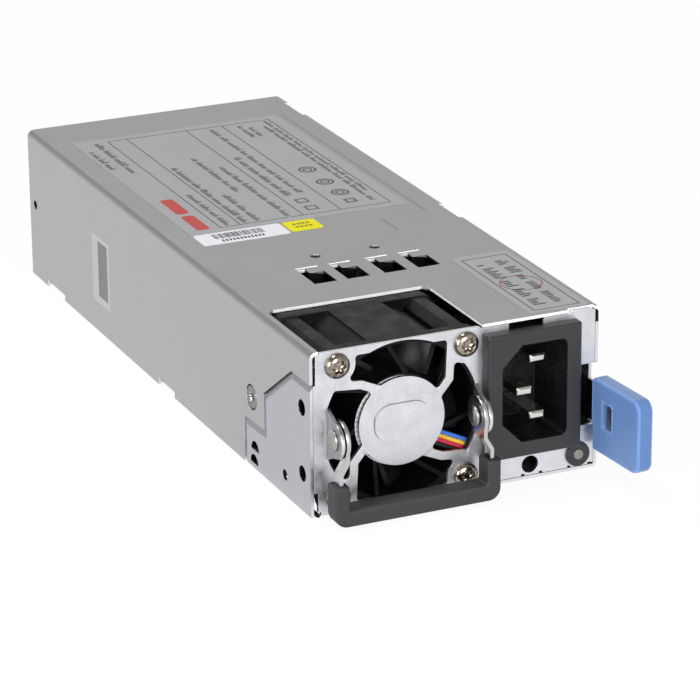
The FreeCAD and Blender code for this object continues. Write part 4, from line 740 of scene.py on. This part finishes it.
for i in range(scale_marks):
    angle = 2 * math.pi * i / scale_marks
    out = Vector((math.cos(angle), 0, math.sin(angle))) * MM
    side = Vector((-out.z, 0, out.x)) * scale_width_mm / 2
    inner, outer = (sticker_place + out * reach for reach in scale_reach_mm)
    foot = [scale.verts.new(corner) for corner in (inner - side, outer - side, outer + side, inner + side)]
    top = [scale.verts.new(vertex.co + lift) for vertex in foot]
    scale.faces.new(foot[::-1])
    scale.faces.new(top)
    for k in range(4):
        scale.faces.new((foot[k], foot[(k + 1) % 4], top[(k + 1) % 4], top[k]))
bmesh.ops.recalc_face_normals(scale, faces=scale.faces)
new_piece("motor_sticker_scale", scale, "case", "black_pbt", brown_ink)

# the leads: radius, distance between them, height and fall of the first, bend, motor base and depth
leads_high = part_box("fan_leads")[1]
lead_radius_mm = 0.5
lead_pitch_mm = 1.1
lead_height_mm = -5.4
lead_fall_mm = 5.0
lead_bend_mm = 2.2
base_radius_mm = 11.0
lead_depth_mm = 1.6


def fan_lead(colour, row):
    """One lead: out of the motor base's rim, sloping to the duct's side, then back to its connector."""
    height = lead_height_mm - row * lead_pitch_mm
    turn_x = leads_high.x - lead_radius_mm * MM
    steep = lead_fall_mm / ((turn_x - fan_centre.x) / MM - base_radius_mm)
    level = height + steep * base_radius_mm
    rim = base_radius_mm + lead_radius_mm
    square = 1 + steep ** 2
    x = (steep * level + math.sqrt(square * rim ** 2 - level ** 2)) / square
    y = fan_low.y + lead_depth_mm * MM
    start = Vector((fan_centre.x + x * MM, y, fan_centre.z + (level - steep * x) * MM))
    corner = Vector((turn_x, y, fan_centre.z + (height - lead_fall_mm) * MM))
    before = corner + (start - corner).normalized() * lead_bend_mm * MM
    after = corner + Vector((0, lead_bend_mm * MM, 0))
    end = Vector((turn_x, leads_high.y, corner.z))
    data = bpy.data.curves.new("fan_lead_" + colour, "CURVE")
    data.dimensions = "3D"
    data.bevel_depth = lead_radius_mm * MM
    data.use_fill_caps = True
    spline = data.splines.new("NURBS")
    route = (start, before, corner, after, end)
    spline.points.add(len(route) - 1)
    for point, place in zip(spline.points, route):
        point.co = (*place, 1.0)
    spline.order_u = 3
    spline.use_endpoint_u = True
    data.materials.append(lead_pvc[colour])
    lead = bpy.data.objects.new("fan_lead_" + colour, data)
    bpy.context.scene.collection.objects.link(lead)
    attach(lead, "case")
    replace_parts(lead, "fan_leads")


for row, colour in enumerate(lead_pvc):
    fan_lead(colour, row)

# ---------------------------------------------------------------- labels on the roof
# Places on the roof are in mm, as deck takes them, and spans are (low, high).
random.seed(7)


def label(name, x, y, material, corner_mm):
    """A label stuck on the roof."""
    mesh = bmesh.new()
    plate(mesh, deck(x[0], y[0]), deck(x[1], y[1]), roof_z, label_mm, corner_mm)
    return new_piece(name, mesh, "case", "zinc_sheet", material)


# two shallow press marks beside the label
press_marks = (((29.3, 29.9), (78.5, 168.0)), ((16.6, 17.5), (68.5, 77.0)))
marks = bmesh.new()
for x, y in press_marks:
    printed_bar(marks, x, y, roof_z)
new_piece("roof_press_marks", marks, "case", "zinc_sheet", press_mark)

# the large label: a ruled table, its lines of text as (x, span, height), rings and squares, and red bars
rule_mm = 0.28
rules_x = (-16.1, 0.75, 10.9)
rules_y = (88.6, 165.7)
text_lines = ((-28.2, (143.0, 159.0), 1.9), (-24.4, (138.0, 165.0), 1.9), (-18.7, (89.5, 116.5), 1.7),
              (-14.0, (89.5, 137.2), 1.8), (-10.6, (89.5, 112.2), 1.8), (-6.4, (112.7, 142.6), 1.8),
              (-2.6, (89.5, 133.2), 1.8), (3.9, (104.0, 138.6), 2.0), (7.4, (105.2, 164.2), 1.7),
              (15.2, (153.0, 163.4), 1.5), (17.4, (153.0, 161.0), 1.5), (21.4, (92.0, 160.0), 1.4),
              (23.2, (99.8, 165.0), 1.2))
rings_x = 16.4
rings_y = (121.3, 110.3, 101.0)
ring_sizes = ((2.4, 0.6), (1.3, 0.5))
squares_x = (3.4, 6.6)
squares_y = (98.9, 92.9)
square_half = 1.6
bars_x = (-27.2, -23.8)
bars_y = ((88.6, 100.2), (102.0, 114.2))

label("rating_label", x=(-30.2, 28.0), y=(85.6, 168.6), material=silver_label, corner_mm=0.6)
ruled = bmesh.new()
border(ruled, x=(-21.4, 24.7), y=(88.3, 166.0), width=rule_mm, z=print_z)
for x in rules_x:
    printed_bar(ruled, (x, x + rule_mm), rules_y, print_z)
for x, span, height in text_lines:
    greeked_line(ruled, x, span, height, print_z)
for y in rings_y:
    for radius, width in ring_sizes:
        printed_ring(ruled, rings_x, y, radius, width, print_z)
for y in squares_y:
    border(ruled, squares_x, (y - square_half, y + square_half), width=0.5, z=print_z)
border(ruled, x=(14.6, 17.6), y=(92.4, 95.4), width=0.6, z=print_z)
new_piece("rating_print", ruled, "case", "zinc_sheet", grey_ink)
bars = bmesh.new()
for y in bars_y:
    plate(bars, deck(bars_x[0], y[0]), deck(bars_x[1], y[1]), print_z, ink_mm, corner_mm=1.0)
new_piece("rating_mark", bars, "case", "zinc_sheet", red_ink)

# the white label: a row of tall ticks with no code in it, and a row of short even ones before it
tall_ticks_x = (-25.6, -12.8)
tall_ticks_y = (80.8, 84.2)
tick_widths = (0.18, 0.3, 0.45)
tick_gaps = (0.2, 0.35)
short_ticks_x = (-24.6, -14.0)
short_ticks_y = (78.4, 79.9)
short_tick_mm = 0.55
short_pitch_mm = 0.95

label("white_label", x=(-30.0, -7.2), y=(77.2, 85.4), material=white_label, corner_mm=0.9)
ticks = bmesh.new()
x = tall_ticks_x[0]
while x < tall_ticks_x[1]:
    wide = random.choice(tick_widths)
    printed_bar(ticks, (x, x + wide), tall_ticks_y, print_z)
    x += wide + random.choice(tick_gaps)
x = short_ticks_x[0]
while x < short_ticks_x[1]:
    printed_bar(ticks, (x, x + short_tick_mm), short_ticks_y, print_z)
    x += short_pitch_mm
new_piece("white_label_ticks", ticks, "case", "zinc_sheet", black_ink)

# the yellow label: two rows of four blocks
blocks_x = (-4.6, -3.4, -2.2, -1.0)
blocks_y = (80.2, 82.3)
block_mm = (0.85, 1.1)

label("yellow_label", x=(-6.6, 1.9), y=(77.9, 85.3), material=yellow_label, corner_mm=0.9)
rows = bmesh.new()
for y in blocks_y:
    for x in blocks_x:
        printed_bar(rows, (x, x + block_mm[0]), (y, y + block_mm[1]), print_z)
new_piece("yellow_label_ticks", rows, "case", "zinc_sheet", ochre_ink)

# the small label at the front: a border, two lines of large text as (x, span), and a ring over them
large_lines = ((24.0, (6.0, 36.0)), (29.2, (6.0, 37.5)))

label("front_label", x=(19.0, 34.2), y=(1.5, 43.4), material=silver_label, corner_mm=0.4)
frame_bars = bmesh.new()
border(frame_bars, x=(20.7, 32.6), y=(2.8, 41.0), width=0.3, z=print_z)
for x, span in large_lines:
    greeked_line(frame_bars, x, span, height_mm=3.0, z=print_z, pitch=1.15)
new_piece("front_label_print", frame_bars, "case", "zinc_sheet", grey_ink)
ring = bmesh.new()
printed_ring(ring, x_mm=26.6, y_mm=21.0, radius=5.2, width=0.5, z=print_z)
new_piece("front_label_ring", ring, "case", "zinc_sheet", brown_ink)

# ---------------------------------------------------------------- floor, light and camera
floor_half = 6.0
floor_mesh = bmesh.new()
bmesh.ops.create_grid(floor_mesh, x_segments=1, y_segments=1, size=floor_half)
floor_data = bpy.data.meshes.new("floor")
floor_mesh.to_mesh(floor_data)
floor_mesh.free()
floor = bpy.data.objects.new("floor", floor_data)
bpy.context.scene.collection.objects.link(floor)


def seen_directly(tree):
    """1 for rays from the eye, off metal and through glass, which are to find the background white."""
    path = node(tree, "LightPath")
    seen = path.outputs["Is Camera Ray"]
    for ray in ("Is Glossy Ray", "Is Transmission Ray"):
        seen = node(tree, "Math", {0: seen, 1: path.outputs[ray]}, operation="MAXIMUM").outputs[0]
    return seen


# Painted white studio board: matt, lit by the lamps, and seen as white by eye, metal and glass.
board_white = 0.93
board, tree, output = empty_material("studio_board_white")
share = node(tree, "Math", {0: seen_directly(tree), 1: board_white}, operation="MULTIPLY")
matt = node(tree, "BsdfDiffuse", {"Color": linear("f4f4f4")})
glow = node(tree, "Emission", {"Color": linear("ffffff"), "Strength": 1.0})
mixed = node(tree, "MixShader", {0: share.outputs[0], 1: matt.outputs[0], 2: glow.outputs[0]})
tree.links.new(mixed.outputs[0], output.inputs[0])
floor_data.materials.append(board)

# The sky: white at the horizon, greyer overhead, as a studio with a dim ceiling.
fade_heights = (0.1, 0.75)
ceiling_grey = 0.45
sky_light = 0.8
world = bpy.data.worlds.new("studio")
bpy.context.scene.world = world
world.use_nodes = True
tree = world.node_tree
tree.nodes.clear()
seen = seen_directly(tree)
height = node(tree, "SeparateXYZ", {0: node(tree, "TexCoord").outputs["Generated"]}).outputs[2]
fade = node(tree, "MapRange", {0: height, 1: fade_heights[0], 2: fade_heights[1], 3: 1.0, 4: ceiling_grey})
power = node(tree, "MapRange", {0: seen, 3: sky_light, 4: 1.0})
both = node(tree, "Math", {0: fade.outputs[0], 1: power.outputs[0]}, operation="MULTIPLY")
sky = node(tree, "Background", {"Color": linear("ffffff"), "Strength": both.outputs[0]})
tree.links.new(sky.outputs[0], node(tree, "OutputWorld").inputs[0])


def soft_box(name, place, size, watts, aim=(0.0, -0.04, 0.02)):
    """A square soft lamp that looks at a point, in metres."""
    data = bpy.data.lights.new(name, "AREA")
    data.size = size
    data.energy = watts
    lamp = bpy.data.objects.new(name, data)
    bpy.context.scene.collection.objects.link(lamp)
    lamp.location = place
    lamp.rotation_euler = (Vector(place) - Vector(aim)).to_track_quat("Z", "Y").to_euler()


soft_box("front_light", place=(-0.1, -1.0, 0.4), size=0.5, watts=5.0)
soft_box("left_light", place=(-0.9, -0.5, 0.25), size=0.5, watts=5.2)
soft_box("top_light", place=(-0.2, 0.1, 1.2), size=0.3, watts=6.0)

# The view: azimuth, elevation and roll in degrees, then a distance and a point that it looks at in mm.
azimuth, elevation, roll = (math.radians(turn) for turn in (-24.27, 20.74, -0.48))
distance_mm = 859.06
aim_mm = Vector((-5.90, -46.25, 20.0))
lens_mm = 185.8
sensor_mm = 36.0

back = Vector((math.sin(azimuth) * math.cos(elevation), -math.cos(azimuth) * math.cos(elevation),
               math.sin(elevation)))
right = Vector((0, 0, 1)).cross(back).normalized()
up = back.cross(right)
level = (right * math.cos(roll) + up * math.sin(roll), up * math.cos(roll) - right * math.sin(roll), back)
eye = Matrix.Translation((aim_mm + back * distance_mm) * MM)
camera_data = bpy.data.cameras.new("view")
camera_data.lens = lens_mm
camera_data.sensor_width = sensor_mm
camera = bpy.data.objects.new("view", camera_data)
bpy.context.scene.collection.objects.link(camera)
camera.matrix_world = eye @ Matrix(level).transposed().to_4x4()
bpy.context.scene.camera = camera
bpy.context.scene.view_settings.view_transform = "Standard"
